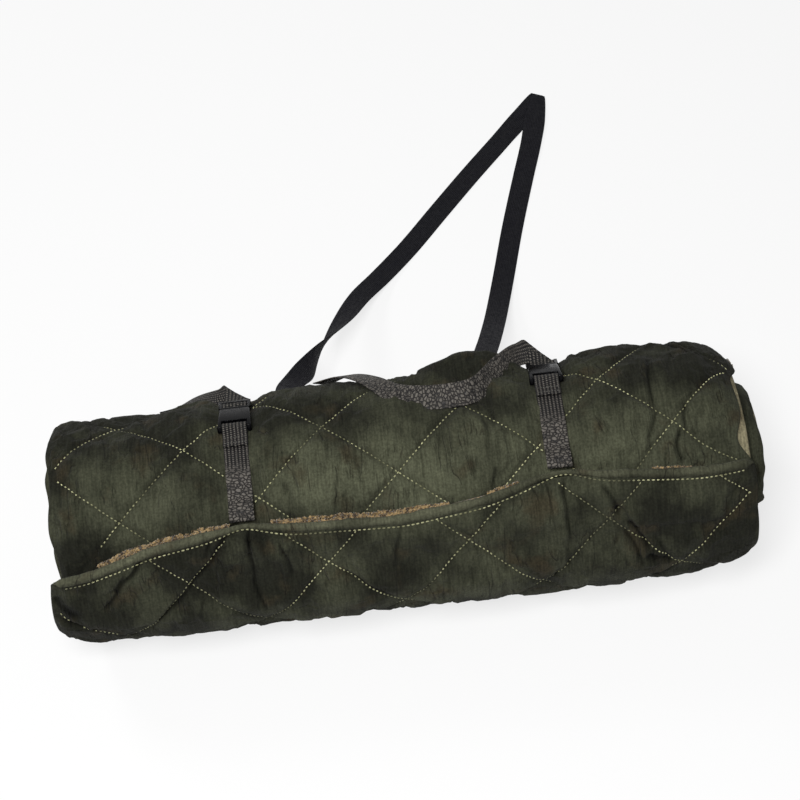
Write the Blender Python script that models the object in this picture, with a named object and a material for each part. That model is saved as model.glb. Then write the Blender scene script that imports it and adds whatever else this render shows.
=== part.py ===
"""A hunter's sitting sack, rolled up and strapped shut, with its shoulder strap laid out behind it.

Two quilted panels lined with pile lie face to face and roll up from the foot. X runs along the roll,
Y away from the flap's side and Z up. The origin is on the ground under the middle of the roll.
"""

import math

import bmesh
import bpy
from mathutils import Matrix, Vector

# Panels, metres
PANEL_WIDTH = 0.700
QUILT = 0.0075
PILE = 0.0055
SEAM_WIDTH = 0.005
ZIP_MARGIN = 0.0155
COIL_INSET = 0.0030
COIL_DEPTH = 0.0030
COIL_WIDTH = 0.0014
COIL_SPLIT = 0.0016
GAP = 0.0003

# Roll: angles count from the front over the top, and fall by 360 for each turn further in
ROLL_RADIUS = 0.1245
TURNS_IN = 3.4
STEP = 18
BASE_HALF = 18
LEFT_SHOULDER = 0.030
LEFT_NARROWING = 0.040
RIGHT_SHOULDERS = (0.060, 0.025)
RIGHT_NARROWINGS = (0.030, 0.100)
TELESCOPE = 0.020
TELESCOPE_FROM = 0.65
TELESCOPE_OVER = 1.2

# Flap: the free end of the back panel, with the line of its hem as places along the roll and angles
FLAP = 45
FLAP_EASE = 0.0018
FLAP_SETTLES = 24
HEM_WIDTH = 5.0
HEM_GAP = 0.35
PILE_SHOWS = 2.0
HEM_PROUD = 0.0008
FRONT_END = -8.0
FRONT_HEM_WIDTH = 5.0
HEM_LINE = (
    (-0.350, 30.5),
    (-0.320, 33.5),
    (-0.285, 39.0),
    (-0.250, 44.5),
    (-0.190, 49.0),
    (-0.158, 51.8),
    (-0.108, 48.3),
    (0.000, 46.0),
    (0.077, 50.4),
    (0.142, 59.2),
    (0.165, 60.5),
    (0.197, 57.3),
    (0.290, 53.0),
    (0.325, 53.2),
    (0.350, 53.8),
)

# Quilting of the back panel's face: squares on their points, half a diagonal along the roll and half
# a diagonal in degrees round it. The rows lean, by degrees a metre, more on the turn than on the flap
SQUARE_HALF = 0.070
SQUARE_TURN = 35.3
SQUARE_ROW = 26.5
SQUARE_STARTS = (-0.0786, -0.0705)
SQUARE_LEANS = (24.0, 38.0)
LEAN_ANGLES = (26.0, -290.0)
QUILTED_FROM = -342.0
SEAM_DEPTH = 0.0048
SEAM_HALF = 0.0125
SEAM_SNAP = 0.0008

# Closing straps and their buckles
WEBBING_WIDTH = 0.025
WEBBING = 0.0012
CINCH = 0.004
CINCH_FLAT = 0.014
CINCH_SHOULDER = 0.040
CINCH_FROM = -306
CINCH_TO = -162
STRAPS = {"left": (-0.158, 117.0), "right": (0.158, 127.0)}
LOAD_LEAVES = {"left": 144.0, "right": 156.0}
TAB_SEWN = 0.6
TAB_LANDS = 14.0
TAB_LEAVES = 31.0
BUCKLE_HEIGHT = 0.0080
SOCKET_REAR = -0.0250
SOCKET_MOUTH = 0.0100
WEBBING_CLEAR = 0.0005
SOCKET_RAIL = 0.0042
SOCKET_TAPER = 0.0020
CAVITY_HALF = 0.0115
CAVITY_LOW = 0.0022
CAVITY_HIGH = 0.0062
CAVITY_REAR = -0.0100
WINDOW_REAR = -0.0020
SLOT_REAR = -0.0190
SLOT_FRONT = -0.0130
LOOP_BAR = 0.0045
BAR_LOW = 0.0025
BAR_HIGH = 0.0060
PLUG_SHOULDER = 0.0037
PLUG_END = 0.0265
RAIL = 0.0033
LADDER_SLOT = 0.0030
LADDER_BAR = 0.0025
LADDER_LOW = 0.0034
LADDER_HIGH = 0.0054
TONGUE_HALF = 0.0030
TONGUE_REAR = -0.0060
PRONG_INNER = 0.0070
PRONG_OUTER = 0.0105
PRONG_LOW = 0.0026
PRONG_HIGH = 0.0058
PRONG_TIP = -0.0040
PRONG_PIVOT = (0.0088, 0.0095)
BUTTON_OUTER = 0.0147
BUTTON_REAR = 0.0002
BUTTON_FRONT = 0.0080
SOCKET_ROUNDING = 0.0014
PLUG_ROUNDING = 0.0006
PLUG_INSET = 0.0005
PLUG_LOW = 0.0010
PLUG_HIGH = 0.0074
RAIL_LOW = 0.0028
RAIL_HIGH = 0.0066
END_BAR_LOW = 0.0037
END_BAR_HIGH = 0.0060
TONGUE_LOW = 0.0030
TONGUE_HIGH = 0.0054

# Solids that are joined run into each other, or stop short so that no faces share a plane, and
# cutters run past what they cut
JOIN = 0.0010
STEP_IN = 0.0002
PAST = 0.0020

# Webbing through the buckles: places along the strap and over the roll
TAB_RISE = ((-0.037, -0.0063), (-0.0265, -0.0013))
LOOP_ROUTE = (
    (-0.0370, -0.0045),
    (-0.0245, 0.0014),
    (-0.0181, 0.0016),
    (-0.0181, 0.0069),
    (-0.0238, 0.0069),
    (-0.0300, 0.0003),
    (-0.0364, -0.0027),
)
LADDER_ROUTE = (
    (0.0285, -0.0003),
    (0.0155, 0.0006),
    (0.0155, 0.0061),
    (0.0216, 0.0061),
    (0.0216, 0.0024),
    (0.0275, 0.0022),
    (0.0330, 0.0012),
)

# Zip slider and pull, at the zip's upper end
ZIP_TOP = -225.0
ZIP_BOTTOM = -936
SLIDER_LENGTH = 0.0100
SLIDER_HALF = 0.0042
SLIDER_UNDER_HALF = 0.0020
SLIDER_PLATE = 0.0014
SLIDER_CLEAR = 0.0005
PIN_RADIUS = 0.0008
EYE_WALL = 0.0007
PIN_RISE = 0.0022
EAR_GAP_HALF = 0.0021
EAR = 0.0010
PULL_LENGTH = 0.024
PULL_HALF = 0.0032
PULL_NECK_HALF = 0.0017
PULL_THICK = 0.0016
PULL_TAB_FROM = 0.3
EAR_HALF = 0.0015
EAR_TIP = 0.0005
POST_LENGTH = 0.0020

# Shoulder strap: each leg's route from its foot on the roll to the fold on the ground
FEET = {"left": -0.108, "right": 0.101}
FOOT_FROM = -214
FOOT_TO = -201
FOOT_THICK = 0.0018
FOOT_GAP = 0.3
LEFT_LEG = (
    (-0.1065, 0.127, 0.128, 0),
    (-0.1005, 0.143, 0.114, 6),
    (-0.0895, 0.166, 0.097, 36),
    (-0.0745, 0.199, 0.078, 88),
    (-0.0585, 0.233, 0.060, 132),
    (-0.0425, 0.268, 0.041, 162),
    (-0.0225, 0.308, 0.021, 178),
    (0.0035, 0.343, 0.006, 180),
    (0.0365, 0.380, 0.0009, 180),
    (0.0825, 0.433, 0.0009, 180),
    (0.1245, 0.481, 0.0009, 180),
    (0.1700, 0.531, 0.0009, 180),
    (0.1975, 0.562, 0.0009, 180),
)
RIGHT_LEG = (
    (0.2130, 0.555, 0.0026, 0),
    (0.2030, 0.517, 0.0026, 0),
    (0.1885, 0.472, 0.0012, 0),
    (0.1645, 0.394, 0.0009, 0),
    (0.1465, 0.328, 0.0030, 0),
    (0.1370, 0.290, 0.013, 0),
    (0.1285, 0.252, 0.033, 0),
    (0.1205, 0.215, 0.060, 0),
    (0.1135, 0.183, 0.086, 0),
    (0.1070, 0.156, 0.108, 0),
    (0.1025, 0.137, 0.122, 0),
    (0.1010, 0.127, 0.130, 0),
)
FOLD = (0.2215, 0.593, 0.00175)
FOLD_DIRECTION = (1.0, 2.4, 0.0)
FOLD_GATHER = 0.6

# Free ends of the closing straps, as places along the roll, angles and heights over its face
LEFT_TAIL = ((-0.1815, 147.0, 0.0150), (-0.2085, 155.0, 0.0100), (-0.2365, 164.0, 0.0025))
RIGHT_TAIL = (
    (0.1375, 143.0, 0.0160),
    (0.1135, 134.0, 0.0115),
    (0.0835, 122.0, 0.0050),
    (0.0535, 114.0, 0.0025),
    (0.0235, 111.0, 0.0025),
    (0.0015, 119.0, 0.0045),
    (-0.0185, 131.0, 0.0080),
    (-0.0435, 145.0, 0.0100),
    (-0.0705, 157.0, 0.0060),
)
TAIL_FOLD = 0.013

HALF = PANEL_WIDTH / 2
SLOT_HALF = WEBBING_WIDTH / 2 + WEBBING_CLEAR
SOCKET_HALF_REAR = SLOT_HALF + SOCKET_RAIL
SOCKET_HALF_MOUTH = SOCKET_HALF_REAR - SOCKET_TAPER
BACK_PILE = QUILT + GAP
FRONT_PILE = BACK_PILE + PILE + GAP
FRONT_QUILT = FRONT_PILE + PILE + GAP
TURN = FRONT_QUILT + QUILT + GAP
CORE = -TURNS_IN * 360
MAIN_STATIONS = (-HALF, LEFT_SHOULDER - HALF, HALF - RIGHT_SHOULDERS[0], HALF - RIGHT_SHOULDERS[1], HALF)

COLOURS = {
    "olive": ((0.055, 0.060, 0.036), 0.80, 0.0),
    "pile": ((0.130, 0.075, 0.040), 0.95, 0.0),
    "facing": ((0.040, 0.043, 0.028), 0.80, 0.0),
    "grey webbing": ((0.085, 0.082, 0.072), 0.65, 0.0),
    "black webbing": ((0.010, 0.011, 0.014), 0.70, 0.0),
    "plastic": ((0.012, 0.012, 0.013), 0.40, 0.0),
    "coil": ((0.016, 0.016, 0.014), 0.45, 0.0),
    "slider": ((0.060, 0.055, 0.045), 0.35, 1.0),
}


def clear_scene():
    for thing in list(bpy.data.objects):
        bpy.data.objects.remove(thing, do_unlink=True)


def new_collection(name):
    collection = bpy.data.collections.new(name)
    bpy.context.scene.collection.children.link(collection)
    return collection


def paint(name, finish):
    colour, roughness, metallic = COLOURS[finish]
    material = bpy.data.materials.new(name)
    material.use_nodes = True
    shader = material.node_tree.nodes["Principled BSDF"]
    shader.inputs["Base Color"].default_value = (*colour, 1.0)
    shader.inputs["Roughness"].default_value = roughness
    shader.inputs["Metallic"].default_value = metallic
    return material


def add_object(name, mesh_or_bm, finish, matrix=None):
    """One sub-part in the sack's collection, from a bmesh, with its own material."""
    mesh = bpy.data.meshes.new(name)
    mesh_or_bm.to_mesh(mesh)
    mesh_or_bm.free()
    mesh.materials.append(paint(name, finish))
    thing = bpy.data.objects.new(name, mesh)
    SACK.objects.link(thing)
    if matrix is not None:
        thing.matrix_world = matrix
    return thing


def turns(angle):
    """How many turns out a place is; the stretch that lies on the ground adds none."""
    whole, rest = divmod(angle + 90 + BASE_HALF, 360)
    return whole + max(0.0, rest - 2 * BASE_HALF) / (360 - 2 * BASE_HALF)


def face_radius(angle):
    return ROLL_RADIUS + TURN * (turns(angle) - turns(0))


def narrowing(x):
    """The share of the radius lost where the roll's ends round off."""
    if x < LEFT_SHOULDER - HALF:
        return (LEFT_SHOULDER - HALF - x) / LEFT_SHOULDER * LEFT_NARROWING
    outer, inner = HALF - RIGHT_SHOULDERS[0], HALF - RIGHT_SHOULDERS[1]
    first, last = RIGHT_NARROWINGS
    if x > inner:
        return first + (x - inner) / RIGHT_SHOULDERS[1] * (last - first)
    return max(0.0, x - outer) / (inner - outer) * first


def telescope(angle):
    """How far the inner turns have slipped towards the right end."""
    turns_in = turns(0) - turns(angle)
    return TELESCOPE * min(1.0, max(0.0, (turns_in - TELESCOPE_FROM) / TELESCOPE_OVER))


def on_arc(x, angle, depth):
    """A place at this depth under the roll's outer face."""
    if x > HALF - RIGHT_SHOULDERS[1] + GAP or x < LEFT_SHOULDER - HALF - GAP:
        x += telescope(angle)
    radius = (face_radius(angle) - depth) * (1 - narrowing(x))
    from_base = (angle + 270) % 360 - 180
    if abs(from_base) < BASE_HALF:
        radius *= math.cos(math.radians(BASE_HALF)) / math.cos(math.radians(from_base))
    turned = math.radians(angle)
    return Vector((x, -radius * math.cos(turned), CENTRE_HEIGHT + radius * math.sin(turned)))


def on_roll(x, angle, depth):
    """A place on the flat facet between the roll's creases, so that every layer lies parallel."""
    low = math.floor(angle / STEP + 1e-4) * STEP
    share = (angle - low) / STEP
    if share < 1e-3:
        return on_arc(x, low, depth)
    return on_arc(x, low, depth).lerp(on_arc(x, low + STEP, depth), share)


def hem_angle(x):
    """Where the flap's hem lies at this place along the roll."""
    for (x0, a0), (x1, a1) in zip(HEM_LINE, HEM_LINE[1:]):
        if x <= x1:
            return a0 + (a1 - a0) * max(0.0, x - x0) / (x1 - x0)
    return HEM_LINE[-1][1]


def panel_angle(x, angle):
    """The angle that a row of the back panel comes to: on the flap, rows follow the hem's line."""
    if angle <= 0:
        return angle
    quilt_end = hem_angle(x) - HEM_WIDTH
    return angle / FLAP * quilt_end if angle <= FLAP else quilt_end + angle - FLAP


def on_flap(x, angle, depth):
    """A place on the back panel: on the roll up to the front, and past it on the flap, which settles
    on the turn beneath it where the front panel has ended."""
    if angle <= 0:
        return on_roll(x, angle, depth)
    turned = panel_angle(x, angle)
    share = min(1.0, turned / FLAP_SETTLES)
    drop = (TURN - FRONT_PILE + GAP - FLAP_EASE) * share * share * (3 - 2 * share)
    return on_arc(x, turned, depth + drop)


def cinched(x, angle):
    """How deep the closing straps press into the outer turn."""
    rows = (CINCH_FROM - STEP, CINCH_FROM, CINCH_TO, CINCH_TO + STEP)
    if not rows[0] < angle < rows[3]:
        return 0.0
    away = min(abs(x - centre) for centre, _ in STRAPS.values())
    across = min(1.0, max(0.0, (CINCH_SHOULDER - away) / (CINCH_SHOULDER - CINCH_FLAT)))
    along = min(1.0, (angle - rows[0]) / STEP, (rows[3] - angle) / STEP)
    return CINCH * across * along


def quilting_lean(turned):
    """Where the squares start along the roll, and how much their rows lean, at this angle."""
    share = (LEAN_ANGLES[0] - turned) / (LEAN_ANGLES[0] - LEAN_ANGLES[1])
    start = SQUARE_STARTS[0] + (SQUARE_STARTS[1] - SQUARE_STARTS[0]) * share
    return start, SQUARE_LEANS[0] + (SQUARE_LEANS[1] - SQUARE_LEANS[0]) * share


def seam_at(way, number, angle):
    """Where a seam of one direction crosses a row of the back panel."""
    x = 0.0
    for _ in range(12):
        turned = panel_angle(x, angle)
        start, lean = quilting_lean(turned)
        down = (turned - SQUARE_ROW) / SQUARE_TURN
        x = (2 * number + start / SQUARE_HALF - way * down) / (1 / SQUARE_HALF - way * lean / SQUARE_TURN)
        x = min(PANEL_WIDTH, max(-PANEL_WIDTH, x))
    return x


def drawn_in(x, angle):
    """How deep the nearest quilting seam draws in the back panel's face, which lies flat on the ground."""
    if angle < QUILTED_FROM:
        return 0.0
    turned = panel_angle(x, angle)
    start, lean = quilting_lean(turned)
    along = (x - start) / SQUARE_HALF
    down = (turned - SQUARE_ROW - lean * x) / SQUARE_TURN
    away = min(abs(e - round(e)) for e in ((along + down) / 2, (along - down) / 2))
    from_base = abs((turned + 270) % 360 - 180)
    off_ground = min(1.0, max(0.0, from_base / BASE_HALF - 1))
    return SEAM_DEPTH * off_ground * max(0.0, 1 - away * SQUARE_HALF * math.sqrt(2) / SEAM_HALF)


def cut_seams(bm, rows):
    """Cuts a slab's face along each quilting seam and along both sides of its groove."""
    side = SQUARE_HALF * math.sqrt(2)
    most = math.ceil((PANEL_WIDTH / SQUARE_HALF + 360 / SQUARE_TURN) / 2)
    for first, last in zip(rows, rows[1:]):
        if first < QUILTED_FROM:
            continue
        for way in (1, -1):
            for number in range(-most, most + 1):
                for offset in (-1, 0, 1):
                    line = number + offset * SEAM_HALF / side
                    cut_band(bm, first, last, seam_at(way, line, first), seam_at(way, line, last))


def cut_band(bm, first, last, x0, x1):
    """Cuts the face between two rows along a line from one row to the other."""
    if min(x0, x1) > HALF or max(x0, x1) < -HALF:
        return
    band = [v for v in bm.verts if v.co.z > 0.5 and first - 1e-3 < v.co.y < last + 1e-3]
    normal = Vector((last - first, x0 - x1, 0)).normalized()
    cut_slab(bm, band, normal, Vector((x0, first, 0)), SEAM_SNAP)


def bent_slab(name, finish, across, along, place, more_across=(), quilted=False):
    """A flat slab, cut at its stations across and along, and bent to its place vertex by vertex.

    more_across lists stations that cut only some rows, each with the first and last of those rows.
    """
    bm = bmesh.new()
    bmesh.ops.create_cube(bm, size=1)
    for vert in bm.verts:
        vert.co.x = across[0] if vert.co.x < 0 else across[-1]
        vert.co.y = along[0] if vert.co.y < 0 else along[-1]
        vert.co.z = 0 if vert.co.z < 0 else 1
    for station in along[1:-1]:
        cut_slab(bm, bm.verts, Vector((0, 1, 0)), Vector((0, station, 0)))
    for station in across[1:-1]:
        cut_slab(bm, bm.verts, Vector((1, 0, 0)), Vector((station, 0, 0)))
    for station, first, last in more_across:
        rows = [v for v in bm.verts if first - 1e-3 < v.co.y < last + 1e-3]
        cut_slab(bm, rows, Vector((1, 0, 0)), Vector((station, 0, 0)))
    if quilted:
        cut_seams(bm, along)
    for vert in bm.verts:
        vert.co = place(round(vert.co.x, 6), round(vert.co.y, 4), vert.co.z)
    bmesh.ops.triangulate(bm, faces=list(bm.faces), quad_method="SHORT_EDGE", ngon_method="BEAUTY")
    return add_object(name, bm, finish)


def cut_slab(bm, verts, normal, place, snap=1e-6):
    chosen = set(verts)
    edges = [e for e in bm.edges if chosen.issuperset(e.verts)]
    faces = [f for f in bm.faces if chosen.issuperset(f.verts)]
    geometry = list(chosen) + edges + faces
    bmesh.ops.bisect_plane(bm, geom=geometry, plane_co=place, plane_no=normal, dist=snap)


def rows_between(first, last):
    """The creases between two angles, with both ends."""
    inner = range(math.floor(first / STEP) + 1, math.ceil(last / STEP))
    return (first, *(STEP * n for n in inner), last)


def stations_between(first, last):
    return (first, *(x for x in MAIN_STATIONS if first < x < last), last)


def rolled_layer(name, finish, across, along, top, thick):
    """A layer of a panel, top below the roll's face, along the whole of its angles."""
    return bent_slab(name, finish, across, along, lambda x, a, w: on_flap(x, a, top + thick * (1 - w)))


def make_panels():
    flap_rows = (FLAP / 4, FLAP / 2, FLAP * 3 / 4, FLAP)
    shared = [x for x, _ in HEM_LINE if x not in MAIN_STATIONS]
    hem_cuts = [(x, 0, FLAP + HEM_WIDTH + PILE_SHOWS) for x in shared]
    strap_cuts = [
        (centre + side * reach, CINCH_FROM - STEP, CINCH_TO + STEP)
        for centre, _ in STRAPS.values()
        for side in (-1, 1)
        for reach in (CINCH_FLAT, CINCH_SHOULDER)
    ]
    bent_slab(
        "back_panel_quilt",
        "olive",
        MAIN_STATIONS,
        rows_between(CORE, 0) + flap_rows,
        lambda x, a, w: on_flap(x, a, max(cinched(x, a), drawn_in(x, a)) if w > 0.5 else QUILT),
        hem_cuts + strap_cuts,
        quilted=True,
    )
    pile_across = stations_between(-HALF + SEAM_WIDTH + GAP, HALF - ZIP_MARGIN - GAP)
    first_pile = CORE + pile_start(BACK_PILE)
    bent_slab(
        "back_panel_pile",
        "pile",
        pile_across,
        rows_between(first_pile, 0) + flap_rows + (FLAP + HEM_WIDTH + PILE_SHOWS,),
        lambda x, a, w: on_flap(x, a, BACK_PILE + PILE * (1 - w)),
        hem_cuts,
    )
    bent_slab(
        "back_panel_hem",
        "facing",
        MAIN_STATIONS,
        (FLAP + HEM_GAP, FLAP + HEM_WIDTH),
        lambda x, a, w: on_flap(x, a, QUILT * (1 - w) - HEM_PROUD * w),
        hem_cuts,
    )
    front_end = FRONT_END - FRONT_HEM_WIDTH
    last = front_end - HEM_GAP
    rolled_layer("front_panel_quilt", "olive", MAIN_STATIONS, rows_between(CORE, last), FRONT_QUILT, QUILT)
    rolled_layer("front_panel_pile", "pile", pile_across, rows_between(first_pile, last), FRONT_PILE, PILE)
    rolled_layer(
        "front_panel_hem",
        "facing",
        MAIN_STATIONS,
        rows_between(front_end, FRONT_END),
        FRONT_PILE + GAP,
        PILE + QUILT,
    )


def pile_start(depth):
    """Degrees that the foot seam takes up at the core."""
    return math.degrees((SEAM_WIDTH + GAP) / (face_radius(CORE) - depth))


def make_seams():
    between = PILE * 2 + GAP
    left = (-HALF, -HALF + SEAM_WIDTH)
    right = (HALF - ZIP_MARGIN, HALF)
    last = FRONT_END - FRONT_HEM_WIDTH - HEM_GAP
    start = CORE + pile_start(BACK_PILE)
    rolled_layer("left_side_seam", "facing", left, rows_between(start, last), BACK_PILE, between)
    zip_starts = ZIP_BOTTOM - HEM_GAP
    rolled_layer("right_side_seam", "facing", right, rows_between(start, zip_starts), BACK_PILE, between)
    foot = (CORE, start - math.degrees(GAP / (face_radius(CORE) - FRONT_PILE)))
    rolled_layer("foot_seam", "facing", MAIN_STATIONS, foot, BACK_PILE, between)


def make_zip():
    """Two tapes with a half of the coil on each, which spread apart above the slider."""
    last = FRONT_END - FRONT_HEM_WIDTH - HEM_GAP
    rows = rows_between(ZIP_BOTTOM, last)
    tape_x = (HALF - ZIP_MARGIN, HALF - COIL_INSET)
    coil_x = (HALF - COIL_INSET - COIL_DEPTH, HALF - COIL_INSET)
    space = PILE * 2 + GAP
    tape = space / 2 - COIL_SPLIT / 2 - COIL_WIDTH - GAP
    rolled_layer("zip_tape_back", "facing", tape_x, rows, BACK_PILE, tape)
    rolled_layer("zip_tape_front", "facing", tape_x, rows, BACK_PILE + space - tape, tape)
    for name, side in (("zip_coil_back", -1), ("zip_coil_front", 1)):
        bent_slab(name, "coil", coil_x, rows, lambda x, a, w: on_roll(x, a, coil_depth(a, side, w)))


def coil_depth(angle, side, share):
    """The coils meet below the slider and stand apart above it."""
    spread = GAP if angle < ZIP_TOP - STEP else COIL_SPLIT
    inner = share if side < 0 else 1 - share
    return BACK_PILE + PILE + GAP / 2 + side * (spread / 2 + COIL_WIDTH * inner)


def slider_frame():
    """The slider's place on its facet: across the zip, along it, and out from the end of the roll.

    The facet leans as the end rounds off, and the second value says by how much.
    """
    depth = BACK_PILE + PILE + GAP / 2
    here = on_roll(HALF - COIL_INSET, ZIP_TOP, depth)
    ahead = on_roll(HALF - COIL_INSET, ZIP_TOP + 1, depth)
    behind = on_roll(HALF - COIL_INSET - COIL_DEPTH, ZIP_TOP, depth)
    along = (ahead - here).normalized()
    out = Vector((1, 0, 0))
    across = along.cross(out)
    lean = (here - behind).dot(across) / COIL_DEPTH
    return frame_matrix(here, across, along, out), lean


def frame_matrix(origin, right, forward, up):
    columns = Matrix((right, forward, up)).transposed()
    return Matrix.Translation(origin) @ columns.to_4x4()


def box(bm, low, high):
    """A box between two corners, added to a bmesh."""
    made = bmesh.ops.create_cube(bm, size=1)["verts"]
    for vert in made:
        for axis in range(3):
            vert.co[axis] = low[axis] if vert.co[axis] < 0 else high[axis]
    return made


def combine(thing, operation, bm):
    """Joins or cuts a shape, given in the object's own frame."""
    name = f"{thing.name}_{operation.lower()}_{len(CUTTERS.objects)}"
    mesh = bpy.data.meshes.new(name)
    bm.to_mesh(mesh)
    bm.free()
    other = bpy.data.objects.new(name, mesh)
    other.matrix_world = thing.matrix_world
    CUTTERS.objects.link(other)
    other.hide_render = True
    other.display_type = "WIRE"
    modifier = thing.modifiers.new(name, "BOOLEAN")
    modifier.operation = operation
    modifier.object = other
    modifier.solver = "EXACT"


def boolean(thing, operation, low, high, lean=0.0):
    """Joins or cuts a box, which may lean along X as it rises."""
    bm = bmesh.new()
    for vert in box(bm, low, high):
        vert.co.x += lean * vert.co.z
    combine(thing, operation, bm)


def boolean_rod(thing, operation, radius, reach, height):
    """Joins or cuts a rod along X, from -reach to reach."""
    bm = bmesh.new()
    turned = Matrix.Translation((0, 0, height)) @ Matrix.Rotation(math.radians(90), 4, "Y")
    bmesh.ops.create_cone(
        bm, cap_ends=True, segments=16, radius1=radius, radius2=radius, depth=reach * 2, matrix=turned
    )
    combine(thing, operation, bm)


def make_slider():
    matrix, lean = slider_frame()
    half = SLIDER_LENGTH / 2
    top = SLIDER_CLEAR
    bottom = -COIL_DEPTH - SLIDER_CLEAR
    bm = bmesh.new()
    box(bm, (-SLIDER_HALF, -half, top), (SLIDER_HALF, half, top + SLIDER_PLATE))
    slider = add_object("zip_slider", bm, "slider", matrix)
    under = bottom - SLIDER_PLATE
    boolean(slider, "UNION", (-SLIDER_UNDER_HALF, -half, under), (SLIDER_UNDER_HALF, half, bottom), lean)
    post = COIL_SPLIT / 2 - GAP
    post_from = half - JOIN - POST_LENGTH
    boolean(slider, "UNION", (-post, post_from, bottom - GAP), (post, half - JOIN, top + GAP), lean)
    pin_height = top + SLIDER_PLATE + PIN_RISE
    ear_top = pin_height + PIN_RADIUS + EAR_TIP
    for side in (-1, 1):
        inner, outer = sorted((side * EAR_GAP_HALF, side * (EAR_GAP_HALF + EAR)))
        boolean(slider, "UNION", (inner, -EAR_HALF, top + GAP), (outer, EAR_HALF, ear_top))
    boolean_rod(slider, "UNION", PIN_RADIUS, EAR_GAP_HALF + GAP, pin_height)
    make_pull(matrix @ Matrix.Translation((0, 0, pin_height)))


def make_pull(matrix):
    """The pull hangs down the back from the slider's pin, and its origin is on the pin."""
    thick = PULL_THICK / 2
    eye = PIN_RADIUS + GAP
    wall = eye + EYE_WALL
    bm = bmesh.new()
    box(bm, (-PULL_NECK_HALF, eye + STEP_IN, -thick), (PULL_NECK_HALF, PULL_LENGTH, thick))
    pull = add_object("zip_pull", bm, "slider", matrix)
    tab_low = (-PULL_HALF, PULL_LENGTH * PULL_TAB_FROM, -thick + STEP_IN)
    boolean(pull, "UNION", tab_low, (PULL_HALF, PULL_LENGTH + STEP_IN, thick + STEP_IN))
    boolean_rod(pull, "UNION", wall, PULL_NECK_HALF - STEP_IN, 0)
    boolean_rod(pull, "DIFFERENCE", eye, PULL_HALF * 2, 0)


def buckle_frame(side):
    """A buckle's frame on the roll: along X, along the strap towards the back, and outwards."""
    x, angle = STRAPS[side]
    turned = math.radians(angle)
    outward = Vector((0, -math.cos(turned), math.sin(turned)))
    back = Vector((0, math.sin(turned), math.cos(turned)))
    radius = face_radius(angle - 360) - CINCH + GAP
    origin = Vector((x, 0, CENTRE_HEIGHT)) + outward * radius
    return frame_matrix(origin, Vector((1, 0, 0)), back, outward)


def round_edges(bm, edges, radius, segments):
    bmesh.ops.bevel(
        bm, geom=edges, offset=radius, segments=segments, affect="EDGES", profile=0.5, material=-1
    )


def make_socket(side):
    matrix = buckle_frame(side)
    bm = bmesh.new()
    for vert in box(bm, (-1, SOCKET_REAR, GAP), (1, SOCKET_MOUTH, BUCKLE_HEIGHT)):
        vert.co.x *= SOCKET_HALF_REAR if vert.co.y < 0 else SOCKET_HALF_MOUTH
    upright = [e for e in bm.edges if abs(e.verts[0].co.z - e.verts[1].co.z) > GAP]
    upper = [e for e in bm.edges if min(v.co.z for v in e.verts) > BUCKLE_HEIGHT - GAP]
    round_edges(bm, upright + upper, SOCKET_ROUNDING, 2)
    socket = add_object(f"buckle_socket_{side}", bm, "plastic", matrix)
    far = SOCKET_MOUTH + PAST
    wide = SOCKET_HALF_REAR + PAST
    top = BUCKLE_HEIGHT + PAST
    boolean(socket, "DIFFERENCE", (-CAVITY_HALF, CAVITY_REAR, CAVITY_LOW), (CAVITY_HALF, far, CAVITY_HIGH))
    boolean(socket, "DIFFERENCE", (-wide, WINDOW_REAR, CAVITY_LOW), (wide, far, CAVITY_HIGH))
    boolean(socket, "DIFFERENCE", (-SLOT_HALF, SLOT_REAR, -PAST), (SLOT_HALF, SLOT_FRONT, top))
    rear = SOCKET_REAR - PAST
    boolean(socket, "DIFFERENCE", (-SLOT_HALF, rear, BAR_HIGH), (SLOT_HALF, SLOT_REAR + GAP, top))
    boolean(socket, "DIFFERENCE", (-SLOT_HALF, rear, -PAST), (SLOT_HALF, SLOT_REAR + GAP, BAR_LOW))
    boolean(socket, "DIFFERENCE", (-SLOT_HALF, rear, -PAST), (SLOT_HALF, SLOT_REAR - LOOP_BAR, top))
    socket.data.shade_smooth()
    socket.data.set_sharp_from_angle(angle=math.radians(30))


def make_plug(side):
    matrix = buckle_frame(side)
    shoulder = SOCKET_MOUTH + GAP
    ladder = shoulder + PLUG_SHOULDER
    half = SOCKET_HALF_MOUTH - PLUG_INSET
    rail_outer = SLOT_HALF + RAIL
    bm = bmesh.new()
    box(bm, (-half, shoulder, PLUG_LOW), (half, ladder, PLUG_HIGH))
    round_edges(bm, list(bm.edges), PLUG_ROUNDING, 1)
    plug = add_object(f"buckle_plug_{side}", bm, "plastic", matrix)
    for way in (-1, 1):
        inner, outer = sorted((way * SLOT_HALF, way * rail_outer))
        boolean(plug, "UNION", (inner, ladder - JOIN, RAIL_LOW), (outer, PLUG_END, RAIL_HIGH))
    reach = SLOT_HALF + JOIN
    first = ladder + LADDER_SLOT
    boolean(plug, "UNION", (-reach, first, LADDER_LOW), (reach, first + LADDER_BAR, LADDER_HIGH))
    end = PLUG_END - STEP_IN
    boolean(plug, "UNION", (-reach, PLUG_END - LADDER_BAR, END_BAR_LOW), (reach, end, END_BAR_HIGH))
    boolean(plug, "UNION", (-TONGUE_HALF, TONGUE_REAR, TONGUE_LOW), (TONGUE_HALF, ladder - JOIN, TONGUE_HIGH))


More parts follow.
